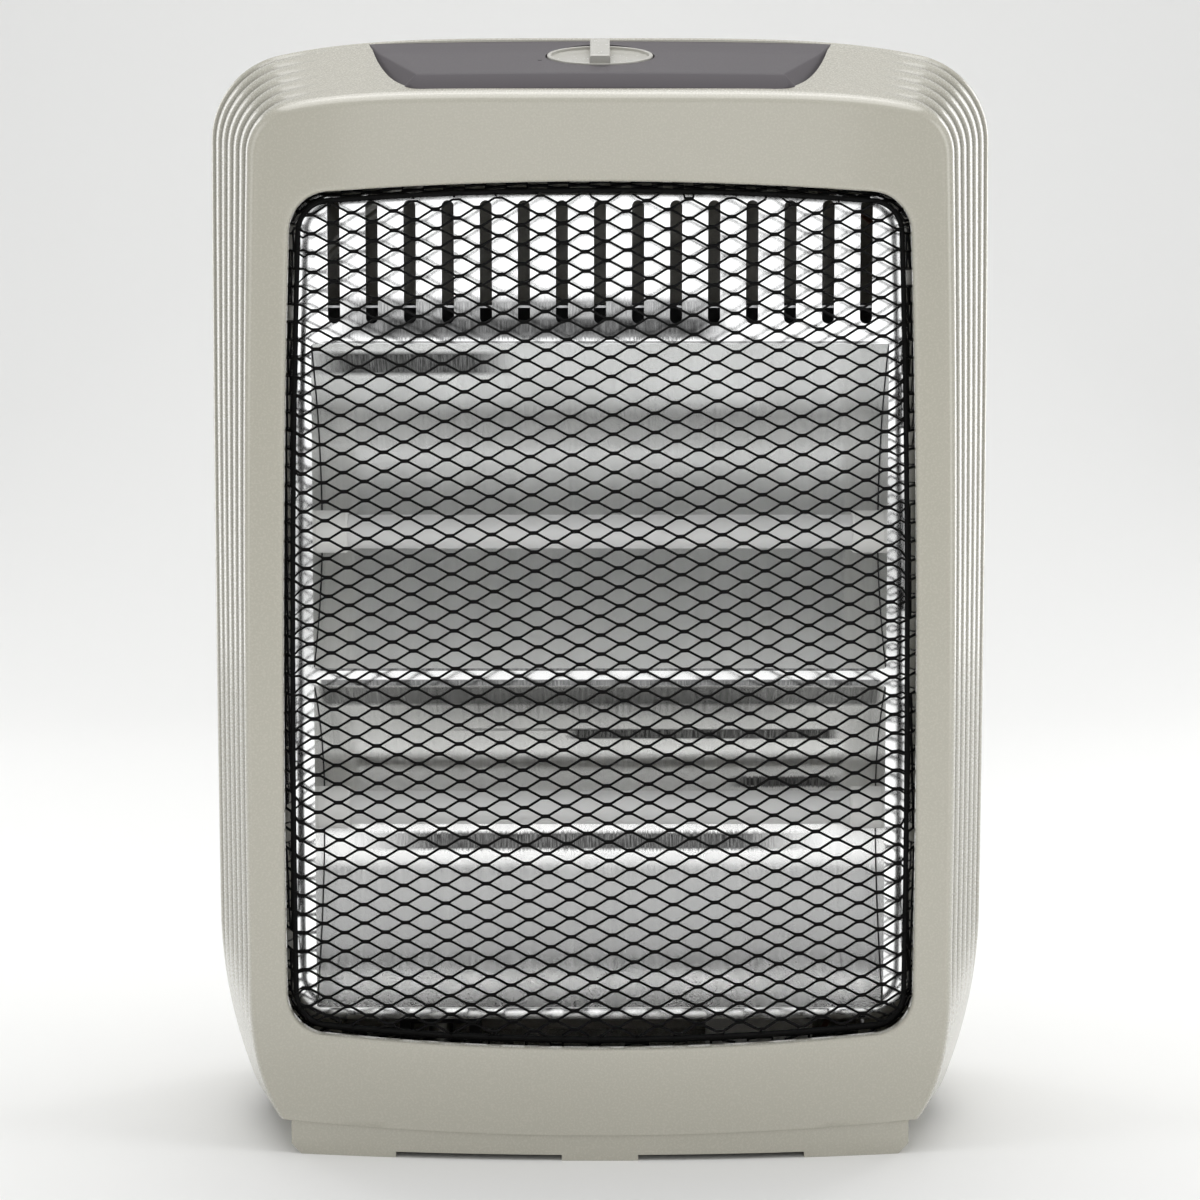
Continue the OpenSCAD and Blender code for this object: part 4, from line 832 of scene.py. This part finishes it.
bend = offset(window_ring, -pan_inset)
bend_out = outward(bend)
bend_out /= np.linalg.norm(bend_out, axis=1)[:, None]
table_e = np.linspace(0, 24, 241)
table = np.array([pan_profile(e) for e in table_e])
turn_stops = np.cumsum([0, pan_arc, pan_wall, flange_arc])
rows_up, halves_out = 56, 18
stops = np.array([0, 0.06, 0.10, 0.20, 0.30, 0.40, 0.44])
along_row = np.concatenate([(half / 2 + stops) * mesh_long for half in range(-halves_out, halves_out + 1)])
lean = np.array([[math.cos(blank_turn), -math.sin(blank_turn)], [math.sin(blank_turn), math.cos(blank_turn)]])
# Row by row the strands are laid out flat and leant by the blank's turn. What
# lies beyond the bend goes down the pan's wall and out along its flange.
points, normals, links, start = [], [], [], 0
for row in range(-rows_up, rows_up + 1):
    shift = (row % 2) * mesh_long / 2
    flat = np.stack([along_row - shift, row * mesh_short / 2 + strand_wave(along_row)], 1)
    flat = flat @ lean.T + blank_middle
    away = flat[:, None, :] - bend[None, :, :]
    near = np.argmin((away ** 2).sum(2), 1)
    away = away[np.arange(len(flat)), near]
    beyond = np.linalg.norm(away, axis=1) * np.sign((away * bend_out[near]).sum(1))
    over = np.maximum(beyond, 0)
    in_face = (beyond <= 0)[:, None]
    bent = bend[near] + bend_out[near] * np.interp(over, table_e, table[:, 0])[:, None]
    place = np.where(in_face, flat, bent)
    bowed = bow(np.where(beyond <= 0, flat[:, 0], bend[near][:, 0]))
    depth = bowed + pan_face + np.interp(over, table_e, table[:, 1])
    turn = np.interp(over, turn_stops, [0, pan_turn, pan_turn, 0])
    leans = np.where(in_face, 0, bend_out[near]) * np.sin(turn)[:, None]
    facing = np.stack([leans[:, 0], -np.cos(turn), leans[:, 1]], 1)
    ends_of_runs = np.flatnonzero(np.diff(np.concatenate([[0], beyond < blank_edge, [0]]).astype(int)))
    for a, b in zip(ends_of_runs[::2], ends_of_runs[1::2]):
        if b - a > 3:
            points.append(np.stack([place[a:b, 0], depth[a:b], place[a:b, 1]], 1))
            normals.append(facing[a:b])
            links += [(start + i, start + i + 1) for i in range(b - a - 1)]
            start += b - a
points, normals = np.concatenate(points), np.concatenate(normals)
strands = bpy.data.meshes.new("guard_strands")
strands.from_pydata(((points - (0, origin_depth, 0)) / 1000).tolist(), links, [])
sheet_normals = strands.attributes.new("sheet_normal", "FLOAT_VECTOR", "POINT").data
sheet_normals.foreach_set("vector", normals.ravel())


def swept(tree, path, profile):
    """A profile carried along a curve, with its ends closed."""
    return add(tree, "GeometryNodeCurveToMesh",
               {"Curve": path, "Profile Curve": profile, "Fill Caps": True})["Mesh"]


strand_bars, given, out = shape_tree("strand_bars", [
    ("Width", "Float", 0.00076), ("Thickness", "Float", 0.00084), ("Lean", "Float", 0.35),
    ("Finish", "Material", None)])
strand_curve = add(strand_bars, "GeometryNodeMeshToCurve", {"Mesh": given["Geometry"]})["Curve"]
sheet_normal = add(strand_bars, "GeometryNodeInputNamedAttribute", {"Name": "sheet_normal"},
                   data_type="FLOAT_VECTOR")["Attribute"]
steered = add(strand_bars, "GeometryNodeSetCurveNormal", {"Curve": strand_curve, "Normal": sheet_normal},
              mode="FREE")["Curve"]
bar = add(strand_bars, "GeometryNodeCurvePrimitiveQuadrilateral",
          {"Width": given["Thickness"], "Height": given["Width"]})["Curve"]
tipped = add(strand_bars, "ShaderNodeCombineXYZ", {"Z": given["Lean"]})["Vector"]
bar = add(strand_bars, "GeometryNodeTransform", {"Geometry": bar, "Rotation": tipped})["Geometry"]
bars = swept(strand_bars, steered, bar)
strand_bars.links.new(realized(strand_bars, bars, given["Finish"]), out["Geometry"])

guard_paint = plastic("guard_paint", (0.003, 0.003, 0.003), 0.5, 2500.0, 0.15, specular=0.08)
guard = placed("guard", strands)
shaped(guard, strand_bars, width=strand_w / 1000, thickness=strand_t / 1000, finish=guard_paint)
dress(guard, "heater", "guard_mesh", sharp=30)

# The crushed strands along the bend, as one slim ring with eight sides.
crush_inset, crush_depth, crush_wide, crush_deep = 3.0, 3.95, 0.9, 0.65
crushed = []
for a in np.arange(8) * math.pi / 4:
    ring = offset(window_ring, crush_wide * math.cos(a) - crush_inset)
    crushed.append(upright(ring, bow(ring[:, 0]) + crush_depth + crush_deep * math.sin(a)))
mesh_piece("guard_bend", np.concatenate(crushed), tube_faces(8, ring_n, closed=True), guard_paint,
           "heater", None, "guard_metal", sharp=60)

# ---- Slotted plate ----
# Bright rolled aluminium behind the guard: it frames the two troughs, and
# fifteen slots above them let the warm air out. Its brushing runs upright.
sheet_t = 0.8
plate_front, plate_half, plate_low, plate_high, plate_r = 28, 119.5, 43.5, 332, 3
opening_half, openings = 99.8, {"lower": (47.5, 162), "upper": (168, 281)}
air_n, air_pitch, air_width, air_high, air_z = 15, 0.0131, 0.0042, 0.0423, 0.30905
rolled, given, out = effect("rolled_sheet", [
    ("Colour", "Color", (0.8, 0.8, 0.8, 1)), ("Stretch", "Vector", (900.0, 6.0, 8.0)),
    ("Streak depth", "Float", 0.06), ("Dents", "Float", 0.0), ("Least roughness", "Float", 0.15),
    ("Most roughness", "Float", 0.3)])
place = object_place(rolled)
stretched = add(rolled, "ShaderNodeMapping", {"Vector": place, "Scale": given["Stretch"]})["Vector"]
streaks = noise(rolled, stretched, 1.0, 5.0, 0.65)
smudge = noise(rolled, place, 26.0, 3.0)
waves = bumped(rolled, noise(rolled, place, 14.0, 1.0), given["Dents"], 0.002)
relief = bumped(rolled, streaks, given["Streak depth"], 0.0001, Normal=waves)
shine = spread(rolled, maths(rolled, "ADD", streaks, smudge), 0.7, 1.3,
               given["Least roughness"], given["Most roughness"])
rolled.links.new(darker(rolled, given["Colour"], varied(rolled, streaks, 0.92, 1.0)), out["Colour"])
rolled.links.new(shine, out["Roughness"])
rolled.links.new(relief, out["Normal"])


def sheet_metal(name, colour, stretch, depth, dent, least, most):
    """A rolled or drawn metal, streaked across the axes that are stretched most."""
    return finished(name, rolled, {
        "Colour": (*colour, 1), "Stretch": stretch, "Streak depth": depth, "Dents": dent,
        "Least roughness": least, "Most roughness": most}, metallic=1.0)


plate_metal = sheet_metal("plate_metal", (0.94, 0.945, 0.945), (900, 6, 9), 0.012, 0.005, 0.08, 0.17)

# Dark streaks painted into a sheet's colour, ragged and made of short upright hairs: painted shadow lines and
# painted reflections on the bright metal.
streak_tree, given, out = new_group("scorched_streak", "ShaderNodeTree", [
    ("Centre", "Vector", (0, 0, 0)), ("Half length", "Float", 0.05), ("Fade", "Float", 0.01),
    ("Half height", "Float", 0.004), ("Ragged", "Float", 0.002)], [("Mask", "Float")])
place = object_place(streak_tree)
way = add(streak_tree, "ShaderNodeVectorMath", {0: place, 1: given["Centre"]}, operation="SUBTRACT")["Vector"]
way = add(streak_tree, "ShaderNodeVectorMath", {0: way}, operation="ABSOLUTE")["Vector"]
way = add(streak_tree, "ShaderNodeSeparateXYZ", {"Vector": way})
hairs = add(streak_tree, "ShaderNodeMapping", {"Vector": place, "Scale": (1500.0, 1.0, 110.0)})["Vector"]
hairs = noise(streak_tree, hairs, 1.0, 3.0, 0.7)
edge = maths(streak_tree, "MULTIPLY_ADD", maths(streak_tree, "SUBTRACT", hairs, 0.5), given["Ragged"], way["Z"])
inner, outer = (maths(streak_tree, "MULTIPLY", given["Half height"], share) for share in (0.75, 1.1))
band = spread(streak_tree, edge, inner, outer, 1.0, 0.0)
fade_start = maths(streak_tree, "SUBTRACT", given["Half length"], given["Fade"])
along = spread(streak_tree, way["X"], fade_start, given["Half length"], 1.0, 0.0)
grain = spread(streak_tree, hairs, 0.35, 0.6, 0.78, 1.0)
streak_tree.links.new(maths(streak_tree, "MULTIPLY", maths(streak_tree, "MULTIPLY", band, along), grain), out["Mask"])


def darken(material, share_of):
    """Scales a material's colour by the value that share_of makes in its tree."""
    tree = material.node_tree
    base = tree.nodes["Principled BSDF"].inputs["Base Color"]
    tree.links.new(darker(tree, base.links[0].from_socket, share_of(tree)), base)


def darken_in_streaks(material, streaks):
    """Darkens a sheet in streaks: centre x and z, half length, fade, half height, ragged edge, strength."""
    for px, pz, half_long, fade, half_high, ragged, strength in streaks:
        made = material.node_tree.nodes.new("ShaderNodeGroup")
        made.node_tree = streak_tree
        made.inputs["Centre"].default_value = (px / 1000, 0, pz / 1000)
        for label, value in (("Half length", half_long), ("Fade", fade), ("Half height", half_high),
                             ("Ragged", ragged)):
            made.inputs[label].default_value = value / 1000
        darken(material, lambda tree: maths(tree, "MULTIPLY_ADD", made.outputs["Mask"], -strength, 1.0))


# Painted shadow lines along the troughs' lips at 163, 167.7 and 281.5 mm; two broad streaks also darken the
# plate just above the upper opening.
darken_in_streaks(plate_metal, [(-24, 290.2, 70, 12, 6.9, 3.5, 0.72), (-20, 286.2, 66, 14, 3.9, 4, 0.75),
                     (0, 163.0, 98, 1, 1.2, 0.3, 0.85), (0, 167.7, 98, 1, 0.5, 0.1, 0.85),
                     (0, 281.5, 98, 4, 0.45, 0.1, 0.7)])
plate_screw_x, plate_screw_z, lip_screw_z = 115.5, (62, 165, 300), 165
plate_screw_spots = [(side * plate_screw_x, pz) for side in sides for pz in plate_screw_z]
points, faces = prism(round_box(-plate_half, plate_half, plate_low, plate_high, plate_r),
                      plate_front, plate_front + sheet_t)
plate = mesh_piece("plate", points, faces, plate_metal, "heater", "slotted_plate", "reflector_metal")
cut_outlines = [round_box(-opening_half, opening_half, low, high, 1) for low, high in openings.values()]
cut_outlines += [disc(*spot, screw_hole, 24) for spot in plate_screw_spots]
carve(plate, *together([prism(ring, plate_front - 2, plate_front + 3) for ring in cut_outlines]))
shaped(plate, slot_row, slots=air_n, pitch=air_pitch, width=air_width, height=air_high, through=0.008,
       first=(-(air_n - 1) / 2 * air_pitch, -0.040, air_z), finish=plate_metal)
dress(plate)

# ---- Reflector troughs and cheeks ----
# Two bright sheets bent to a deep curve behind the tubes, with narrow lips
# against the plate, closed at their ends by flat cheeks.
# Painted reflections: dark bands stand for the darker surroundings that the troughs mirror, one on the upper
# trough and five on the lower, whose copy of the metal is painted brighter.
trough_metal = sheet_metal("trough_metal", (0.86, 0.865, 0.86), (900, 8, 8), 0.04, 0.03, 0.12, 0.24)
darken_in_streaks(trough_metal, [(-66, 274, 38, 16, 4.2, 1.2, 0.93)])
low_trough_metal = sheet_metal("low_trough_metal", (0.95, 0.95, 0.94), (900, 8, 8), 0.04, 0.03, 0.12, 0.24)
darken_in_streaks(low_trough_metal, [(0, 157.5, 99, 2, 4.4, 1.0, 0.75), (37, 141.0, 50, 5, 2.2, 0.8, 0.95),
                          (-28, 142.8, 30, 12, 0.6, 0.3, 0.5), (67, 122.0, 21, 6, 2.1, 3.0, 0.93),
                          (-5, 100.5, 86, 30, 3.3, 3.0, 0.95)])
trough_half, trough_front, trough_depth, trough_lip = 99.5, 28.8, 38.0, 2.7
tube_z = {"lower": 115.7, "upper": 214.3}
for name, (low, high) in openings.items():
    mid = tube_z[name]
    u = np.linspace(-1, 1, 97)
    bend_line = np.stack([trough_front + trough_depth * (1 - u * u),
                          mid + u * np.where(u < 0, mid - low, high - mid)], 1)
    bend_line = np.concatenate([[(trough_front, low - trough_lip)], bend_line,
                                [(trough_front, high + trough_lip)]])
    step = np.gradient(bend_line, axis=0)
    behind = np.stack([step[:, 1], -step[:, 0]], 1) / np.linalg.norm(step, axis=1)[:, None]
    section = np.concatenate([bend_line, (bend_line + behind * sheet_t)[::-1]])
    n, m = len(section), len(bend_line)
    points = np.concatenate([np.stack([np.full(n, px), section[:, 0], section[:, 1]], 1)
                             for px in (-trough_half, trough_half)])
    faces = tube_faces(2, n)
    for base in (0, n):
        faces += [(base + i, base + i + 1, base + n - 2 - i, base + n - 1 - i) for i in range(m - 1)]
    mesh_piece("trough_" + name, points, faces, {"upper": trough_metal, "lower": low_trough_metal}[name],
               "heater", "reflector_" + name, "reflector_metal", sharp=30)


def finish_nodes(names, material):
    """CAD nodes that keep their shape get their finish."""
    for node_name in names:
        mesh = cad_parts[node_name].data
        mesh.materials.clear()
        mesh.materials.append(material)


finish_nodes(["cheek_left", "cheek_right"], trough_metal)

# ---- Quartz tubes ----
# Milky quartz glass, cut square with its ends eased; each holds a wound coil of
# heating wire whose straight tails run out through the caps.
tube_depth, tube_r, tube_bore, tube_half, tube_ease, tube_n = 48.0, 6.0, 4.9, 94.3, 0.3, 48
quartz, tree, shader = blank_material("milky_quartz")
cloud = noise(tree, object_place(tree), 120.0, 3.0)
tree.links.new(varied(tree, cloud, 0.34, 0.44), shader["Roughness"])
tree.links.new(bumped(tree, cloud, 0.15, 0.0002), shader["Normal"])
for label, value in (("Base Color", (0.96, 0.96, 0.95, 1)), ("Transmission Weight", 0.25), ("IOR", 1.46)):
    shader[label].default_value = value
heating_wire = sheet_metal("heating_wire", (0.30, 0.27, 0.25), (900, 900, 900), 0.2, 0.0, 0.3, 0.5)

wound_wire, given, out = shape_tree("wound_wire", [
    ("Turns", "Float", 62.0), ("Coil radius", "Float", 0.003), ("Wire radius", "Float", 0.00045),
    ("Length", "Float", 0.156), ("Start", "Vector", (0, 0, 0)), ("Finish", "Material", None)])
spiral = add(wound_wire, "GeometryNodeCurveSpiral", {
    "Resolution": 16, "Rotations": given["Turns"], "Start Radius": given["Coil radius"],
    "End Radius": given["Coil radius"], "Height": given["Length"]})["Curve"]
spiral = add(wound_wire, "GeometryNodeTransform", {"Geometry": spiral, "Translation": given["Start"],
                                                   "Rotation": (0, math.radians(90), 0)})["Geometry"]
tails = add(wound_wire, "GeometryNodeMeshToCurve", {"Mesh": given["Geometry"]})["Curve"]
wire = add(wound_wire, "GeometryNodeCurvePrimitiveCircle",
           {"Resolution": 6, "Radius": given["Wire radius"]})["Curve"]
wound = swept(wound_wire, joined(wound_wire, spiral, tails), wire)
wound_wire.links.new(realized(wound_wire, wound, given["Finish"]), out["Geometry"])

coil_half, coil_r, coil_turns, tail_end = 78, 3, 62.0, 104
end_r, ease_x = tube_r - tube_ease, tube_half - tube_ease
wall_profile = [(-tube_half, tube_bore), (-tube_half, end_r), (-ease_x, tube_r), (ease_x, tube_r),
                (tube_half, end_r), (tube_half, tube_bore)]
a = np.arange(tube_n) * 2 * math.pi / tube_n
for name in ("upper", "lower"):
    z = tube_z[name]
    points = np.concatenate([np.stack([np.full(tube_n, px), tube_depth + r * np.cos(a), z + r * np.sin(a)], 1)
                             for px, r in wall_profile])
    mesh_piece("tube_" + name, points, tube_faces(len(wall_profile), tube_n, closed=True), quartz, "heater",
               "quartz_tube_" + name, "quartz")
    coil_y = (tube_depth - origin_depth) / 1000
    wires = bpy.data.meshes.new("coil_" + name)
    wires.from_pydata([(side * px / 1000, coil_y, pz / 1000) for side in sides for px, pz in
                       ((tail_end, z), (coil_half, z), (coil_half, z + coil_r))],
                      [(0, 1), (1, 2), (3, 4), (4, 5)], [])
    coil = placed("coil_" + name, wires)
    shaped(coil, wound_wire, turns=coil_turns, start=(-coil_half / 1000, coil_y, z / 1000),
           finish=heating_wire)
    dress(coil, "heater", "heating_coil_" + name)

# ---- End caps and brackets ----
# Pressed ceramic caps carry the tubes; their necks pass through the cheeks
# and rest in upright steel brackets.
ceramic = plastic("ceramic", (0.86, 0.855, 0.83), 0.6, 1200.0, 0.3)
bracket_steel = sheet_metal("bracket_steel", (0.55, 0.56, 0.57), (9, 9, 700), 0.12, 0.0, 0.25, 0.45)
finish_nodes([f"end_cap_{row}_{side}" for row in ("upper", "lower") for side in ("left", "right")], ceramic)
finish_nodes(["tube_bracket_left", "tube_bracket_right"], bracket_steel)

# ---- Inner pieces ----
# A zinc-plated shield with a shelf keeps the heat from the wiring; behind it sit the cut-out, the terminal
# block, the tip-over switch and the leads. The shield's colour is painted light and shade: a painted
# highlight along the shelf's front edge, which shows in the plate's slots as a thin line, and painted shade
# behind it.
black_plastic = plastic("black_plastic", (0.015, 0.015, 0.016), 0.45, 1600.0, 0.15)
zinc = sheet_metal("zinc", (0.62, 0.62, 0.60), (300, 300, 300), 0.2, 0.0, 0.25, 0.45)
shield_sheet = sheet_metal("shield_sheet", (0.80, 0.81, 0.82), (9, 9, 700), 0.1, 0.05, 0.4, 0.6)
edge_end, shade_start, painted_shade_share = -0.0385, -0.0380, 0.12


def shelf_painted_light(tree):
    """Painted light and shade: all of the colour at the shelf's front edge, a painted highlight, and little
    of it behind, painted shade.
    """
    depth = add(tree, "ShaderNodeSeparateXYZ", {"Vector": object_place(tree)})["Y"]
    return spread(tree, depth, edge_end, shade_start, 1.0, painted_shade_share)


darken(shield_sheet, shelf_painted_light)
finish_nodes(["heat_shield"], shield_sheet)
finish_nodes(["rotary_switch", "thermal_cutout", "tip_switch", "tip_plunger"], black_plastic)
finish_nodes(["switch_shaft", "tip_spring"], zinc)
finish_nodes(["terminal_block"], ceramic)
finish_nodes(["cord_gland"], plastic("gland_rubber", (0.018, 0.018, 0.018), 0.7, 900.0, 0.2))
finish_nodes(["lead_upper", "lead_lower", "lead_link", "lead_return"],
             plastic("white_sleeve", (0.72, 0.71, 0.67), 0.55, 2500.0, 0.3))
finish_nodes(["lead_inlet", "lead_switch"], plastic("brown_sleeve", (0.12, 0.045, 0.02), 0.45, 2500.0, 0.2))
finish_nodes(["lead_neutral"], plastic("blue_sleeve", (0.02, 0.08, 0.28), 0.45, 2500.0, 0.2))

# ---- Screws ----
# Zinc-plated pan-head screws with a cross recess, 3 mm thick. One head is made
# and set at every screw's seat, with a threaded shank of its kind's length.
# The head is made at the frame's origin, below its seat; the shank points up.
pan_head = [(1.2, -2.2), (2.2, -2.05), (2.9, -1.6), (3.2, -1.0), (3.2, -0.25), (3.05, 0)]
points, faces = turned(pan_head, 40)
at_origin = (0, origin_depth)
screw_head = mesh_piece("screw_head", points + (*at_origin, 0), faces, zinc)
cross_long, cross_wide, cross_top, cross_bottom = 1.7, 0.35, -3.0, -0.9
for half_x, half_z in ((cross_long, cross_wide), (cross_wide, cross_long)):
    ring = round_box(-half_x, half_x, -half_z, half_z, 0.1, 2)
    recess = [level(ring + at_origin, cross_top), level(ring * 0.5 + at_origin, cross_bottom)]
    carve(screw_head, np.concatenate(recess), tube_faces(2, len(ring), capped=True))

screw_set, given, out = shape_tree("screw_set", [
    ("Head", "Object", None), ("Length", "Float", 0.012), ("Core", "Float", 0.00125),
    ("Turns", "Float", 10.0), ("Finish", "Material", None)])
head = add(screw_set, "GeometryNodeObjectInfo", {"Object": given["Head"]})["Geometry"]
core = add(screw_set, "GeometryNodeMeshCylinder",
           {"Vertices": 16, "Radius": given["Core"], "Depth": given["Length"]})["Mesh"]
middle = maths(screw_set, "MULTIPLY", given["Length"], 0.5)
middle = add(screw_set, "ShaderNodeCombineXYZ", {"Z": middle})["Vector"]
core = add(screw_set, "GeometryNodeTransform", {"Geometry": core, "Translation": middle})["Geometry"]
helix = add(screw_set, "GeometryNodeCurveSpiral", {
    "Resolution": 14, "Rotations": given["Turns"], "Start Radius": given["Core"], "End Radius": given["Core"],
    "Height": given["Length"]})["Curve"]
ridge = add(screw_set, "GeometryNodeCurvePrimitiveCircle", {"Resolution": 3, "Radius": 0.00025})["Curve"]
screw = joined(screw_set, head, core, swept(screw_set, helix, ridge))
facing = add(screw_set, "GeometryNodeInputNamedAttribute", {"Name": "facing"},
             data_type="FLOAT_VECTOR")["Attribute"]
aimed = add(screw_set, "FunctionNodeAlignRotationToVector", {"Vector": facing}, axis="Z")["Rotation"]
screws = add(screw_set, "GeometryNodeInstanceOnPoints",
             {"Points": given["Geometry"], "Rotation": aimed, "Instance": screw})["Instances"]
screw_set.links.new(realized(screw_set, screws, given["Finish"]), out["Geometry"])

# Each kind's length, and its seats with the way that the shank points.
forwards, backwards, upwards, thread_pitch = (0, -1, 0), (0, 1, 0), (0, 0, 1), 1.1
base_screw_x, base_screw_s, base_seat = 90, (32, 104), 7.5
plate_seat, lip_seat = plate_front + sheet_t, 30.0
shield_screw_x, shield_screw_z, shield_seat = 85, (75, 275), 84
terminal_x, switch_screw_x, switch_seat = 111, 23, -6.2
shaft_way = (0, -math.sin(panel_tilt), math.cos(panel_tilt))
for node_name, length, seats in (
        ("cover_screws", 26.0, [((px, well_floor, pz), forwards) for px, pz in well_spots]),
        ("base_screws", 12.0, [((side * base_screw_x, ps, base_seat), upwards)
                               for side in sides for ps in base_screw_s]),
        ("plate_screws", 7.8, [((px, lip_seat if pz == lip_screw_z else plate_seat, pz), forwards)
                               for px, pz in plate_screw_spots]),
        ("shield_screws", 9.8, [((side * shield_screw_x, shield_seat, pz), backwards)
                                for side in sides for pz in shield_screw_z]),
        ("terminal_screws", 6.0, [((side * terminal_x, tube_depth, pz), (-side, 0, 0))
                                  for side in sides for pz in tube_z.values()]),
        ("switch_screws", 4.6, [(tuple(seat), shaft_way) for seat in
                                at_knob([(side * switch_screw_x, 0, switch_seat) for side in sides])])):
    seat_mesh = bpy.data.meshes.new(node_name + "_set")
    seat_mesh.from_pydata([(px / 1000, (ps - origin_depth) / 1000, pz / 1000) for (px, ps, pz), way in seats],
                          [], [])
    ways = seat_mesh.attributes.new("facing", "FLOAT_VECTOR", "POINT").data
    ways.foreach_set("vector", [value for seat, way in seats for value in way])
    screw_piece = placed(node_name + "_set", seat_mesh)
    shaped(screw_piece, screw_set, head=screw_head, length=length / 1000, turns=length / thread_pitch,
           finish=zinc)
    dress(screw_piece, "heater", node_name, sharp=30)
bpy.data.objects.remove(screw_head)
